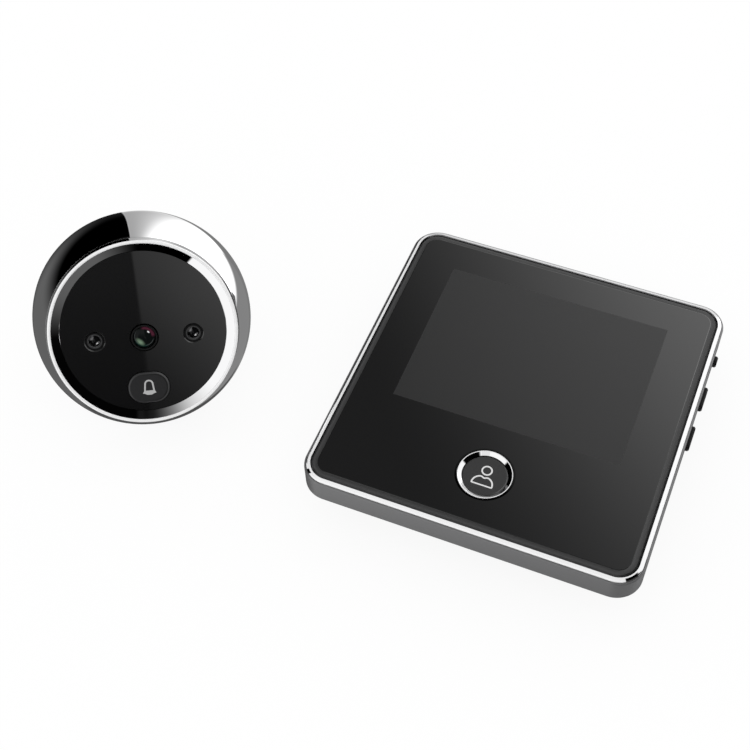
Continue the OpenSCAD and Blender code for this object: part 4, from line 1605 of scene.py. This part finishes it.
    def build(self, nodes: dict[str, Piece]) -> None:
        """Makes the monitor's own pieces and gives every finish.

        Args:
            nodes: the CAD nodes by name.
        """
        shadow_in, shadow_out = self.ring_shadow
        glass = PrintedGlass(
            "printed_glass", (0.005, 0.005, 0.0052), (0.0085, 0.0085, 0.0088), 0.015, 0.34,
            (0.0, self.screen_y), self.screen, self.panel,
            band=(self.facet[0] - self.slope[0], -self.fall[0]),
            # The band's colour, with painted shade across it and on its falling edge.
            band_color=(0.04, 0.04, 0.041),
            fall_shade=(0.02, 0.02, 0.0205),
            # Seat places the painted shadow round the button.
            seat=(self.button_y, self.ring_r - shadow_in, self.ring_r + self.ring_gap + shadow_out),
        )
        # Trim with painted shade along the far side and a painted dark reflection at the near left corner.
        bright = TrimChrome("trim_chrome", self.trim_lip, self.panel, top=self.face)
        lip = (self.ring_r - self.ring_top, self.ring_r - 0.1)
        # Ring chrome with painted shade on its wall over part of the turn.
        ring = RingChrome("button_chrome", lip, centre=(0.0, self.button_y, self.face), wall_shade=(-0.6, 2.6))
        # Cap with a painted highlight inside its edge, on the right only.
        cap = HighlightedCap(
            "button_cap", ORIGIN, (0.0, self.button_y, self.cap_face),
            (self.cap_r * 2, self.cap_r * 2, self.cap_r),
            color=(0.026, 0.026, 0.0265), line=(0.12, 0.12, 0.121),
            band=(-0.26, 0.4), side=(0.4, 0.9), faint=0.0, cut=0.0,
        )
        stand_in(self.front_panel(), glass, "monitor_panel")
        stand_in(self.trim(), bright, "front_trim")
        stand_in(self.button_ring(), ring, "button_ring")
        put_sign(self.person_sign(), PRINT, "main_button")
        dress_nodes(nodes, (
            (SATIN, "monitor_frame"),
            (cap, "main_button"),
            (KEYS, "power_button up_button down_button"),
            (BACK, "back_cover battery_door speaker_grille"),
            (SOFT_BLACK, "lcd_gasket lcd_pads main_chips speaker_cone"),
            (WHITE, "cable_socket main_plunger power_plunger up_plunger down_plunger"),
            (SWITCH, "main_switch side_switches"),
            (BOARD, "main_board button_board"),
            (STEEL, "case_screws"),
            (DISPLAY, "lcd_module"),
            (SHEET, "lcd_frame speaker_frame"),
            (CELLS, "batteries"),
            (CONTACT, "battery_contacts"),
        ))


@dataclass(frozen=True)
class Card:
    """A grey or black studio card that only polished surfaces see.

    Azimuth runs from -Y towards +X, elevation up, both in degrees. Each edge has its own softness.
    """

    name: str
    azimuth: Pair
    elevation: Pair
    shade: float
    sides: Pair = (1.0, 1.0)
    ends: Pair = (4.0, 4.0)
    lean: float = 0.0
    slant: float = 0.0

    def mask(self, azimuth: Sock, elevation: Sock) -> Sock:
        """The card's outline, with its sides sheared by lean and its ends by slant.

        Args:
            azimuth: a direction's azimuth.
            elevation: its elevation.

        Returns:
            1 on the card and 0 beside it.
        """
        across, up = azimuth - elevation * self.lean, elevation - azimuth * self.slant
        (left, right), (low, high) = self.azimuth, self.elevation
        (left_soft, right_soft), (low_soft, high_soft) = self.sides, self.ends
        return (
            across.step(left - left_soft / 2, left + left_soft / 2)
            * across.step(right + right_soft / 2, right - right_soft / 2)
            * up.step(low - low_soft / 2, low + low_soft / 2)
            * up.step(high + high_soft / 2, high - high_soft / 2)
        )


@dataclass
class Studio:
    """Pale floor, even white light, cards for the polished parts, and the camera."""

    cards: tuple[Card, ...] = (
        Card("floor_near", (-200, 200), (-100, -58), 0.075, ends=(1, 10)),
        Card("floor_behind", (-190, -100), (-60, -26), 0.2, sides=(1, 30), ends=(6, 4)),
        Card("floor_right", (115, 190), (-80, -25), 0.235, sides=(20, 1), ends=(10, 4)),
        Card("top", (-60, 200), (65, 120), 0.15, sides=(30, 1), ends=(38, 1)),
        Card("top_right", (9, 200), (66, 120), 0.012, sides=(76, 1), ends=(10, 1)),
        Card("front_low", (3.4, 52.0), (-50, 6), 0.0, sides=(1.0, 4), ends=(6, 4)),
        Card("front_high", (-1.3, 31.86), (4, 38), 0.015, sides=(0.6, 0.15), ends=(4, 44), lean=0.065),
        Card("right_under", (50.0, 92.0), (-50, 8), 0.0, sides=(4, 4), ends=(6, 4)),
        Card("right_low", (38.0, 92.0), (-50, -6), 0.11, sides=(24, 4), ends=(6, 24)),
        Card("right_high", (41.0, 92.0), (4, 30), 0.002, sides=(4, 4), ends=(4, 6)),
        Card("disc_fade", (31.74, 41.0), (40, 75.9), 0.075, (0.15, 4), (1, 17.2), 0.065, -1.53),
        Card("right_black", (83.0, 106.0), (-14, 80), 0.001, sides=(8, 8), ends=(12, 10)),
        Card("right_upper", (23.5, 93.0), (27, 71), 0.001, sides=(12, 8), ends=(10, 8), lean=0.38),
        Card("left_under", (-144.4, -70.0), (-60, 12), 0.012, sides=(0.8, 14), ends=(10, 6), lean=-0.095),
        Card("left_low", (-123.0, -70.0), (-60, 12), 0.122, sides=(34, 14), ends=(10, 6)),
        Card("left_black", (-144.4, -63.0), (11.5, 80.5), 0.0, (0.8, 8), (26, 16), -0.095, 0.18),
        Card("left_fade", (-158.0, -144.4), (-26, 50), 0.4, sides=(26, 0.8), ends=(14, 14), lean=-0.095),
        Card("upper_dark", (-200, -84), (40, 84), 0.142, sides=(1, 20), ends=(12, 8)),
        Card("back_box", (-200, -168), (-24, 45), 2.0, sides=(1, 26), ends=(10, 6)),
        Card("back_side", (140, 200), (-20, 45), 2.0, sides=(20, 1), ends=(10, 6)),
        Card("back_high", (-230, -144.3), (31, 42.75), 2.0, (1, 29.4), (4, 21.7), -0.459, -0.084),
    )
    eye: Triple = (48.65, -196.99, 302.35)
    right: Triple = (0.9253, 0.3782, -0.0294)
    down: Triple = (0.2903, -0.7558, -0.5869)
    forward: Triple = (-0.2441, 0.5345, -0.8092)
    focal: float = 64.08
    sensor: float = 36.0
    nearest: float = 0.01
    floor_half: float = 3.0
    floor_glow: float = 0.9
    floor_gap: float = 0.02

    def light(self) -> None:
        """Even white light for matt surfaces, and a white tent with cards for polished ones.

        Each card covers those before it: tent + mask (shade - tent).
        """
        world = bpy.data.worlds.new("studio")
        bpy.context.scene.world = world
        world.use_nodes = True
        world.cycles.sampling_method = "NONE"
        graph = Graph(world.node_tree)
        x, y, z = graph.split(graph.node("ShaderNodeTexCoord", out="Generated"))
        degrees = 180.0 / math.pi
        azimuth = x.math("ARCTAN2", -y) * degrees
        elevation = z.math("ARCSINE") * degrees
        tent: Value = 1.0
        for card in self.cards:
            tent = tent + card.mask(azimuth, elevation) * (card.shade - tent)
        glossy = graph.node("ShaderNodeLightPath", out="Is Glossy Ray")
        level = 1.0 + glossy * (tent - 1.0)
        shade = graph.node("ShaderNodeBackground", {}, {"Strength": level, "Color": WHITE_LIGHT})
        graph.node("ShaderNodeOutputWorld", {}, {0: shade})

    def floor(self) -> None:
        """A pale floor that keeps the soft shadow, clear from below, that polished parts look past."""
        half, low = self.floor_half, -self.floor_gap * MM
        corner_points = [(-half, -half, low), (half, -half, low), (half, half, low), (-half, half, low)]
        mesh = bpy.data.meshes.new("floor")
        mesh.from_pydata(corner_points, [], [(0, 1, 2, 3)])
        floor = bpy.data.objects.new("floor", mesh)
        bpy.context.scene.collection.objects.link(floor)
        material = bpy.data.materials.new("pale_floor")
        material.use_nodes = True
        material.cycles.emission_sampling = "NONE"
        graph = Graph(material.node_tree)
        matt = graph.node("ShaderNodeBsdfDiffuse", {}, {"Color": WHITE_LIGHT})
        glow = graph.node("ShaderNodeEmission", {}, {"Color": WHITE_LIGHT, "Strength": 1.0})
        pale = graph.node("ShaderNodeMixShader", {}, {0: self.floor_glow, 1: matt, 2: glow})
        clear = graph.node("ShaderNodeBsdfTransparent", {}, {"Color": WHITE_LIGHT})
        below = graph.node("ShaderNodeNewGeometry", out="Backfacing")
        shown = graph.node("ShaderNodeMixShader", {}, {0: below, 1: pale, 2: clear})
        graph.node("ShaderNodeOutputMaterial", {}, {0: shown})
        mesh.materials.append(material)
        floor.visible_glossy = False

    def camera(self) -> None:
        """The photograph's viewpoint: the camera's axes are right, minus down and minus forward."""
        data = bpy.data.cameras.new("view")
        data.sensor_width = self.sensor
        data.lens = self.focal
        data.clip_start = self.nearest
        view = bpy.data.objects.new("view", data)
        place = np.eye(4)
        place[:3, :3] = np.stack([self.right, -np.array(self.down), -np.array(self.forward)], axis=1)
        place[:3, 3] = np.array(self.eye) * MM
        view.matrix_world = Matrix(place.tolist())
        bpy.context.scene.collection.objects.link(view)
        bpy.context.scene.camera = view

    def build(self) -> None:
        """Sets the stage."""
        bpy.context.scene.view_settings.view_transform = "Standard"
        self.light()
        self.floor()
        self.camera()


def main() -> None:
    """Builds the set's looks on the CAD frame."""
    logging.basicConfig(level=logging.INFO, format="%(message)s")
    Studio().build()
    CameraUnit().build(frame["nodes"])
    Monitor().build(frame["nodes"])
    shading = CrispShading()
    shading.build()
    shading.add(*frame["nodes"].values())


if __name__ == "__main__":
    main()
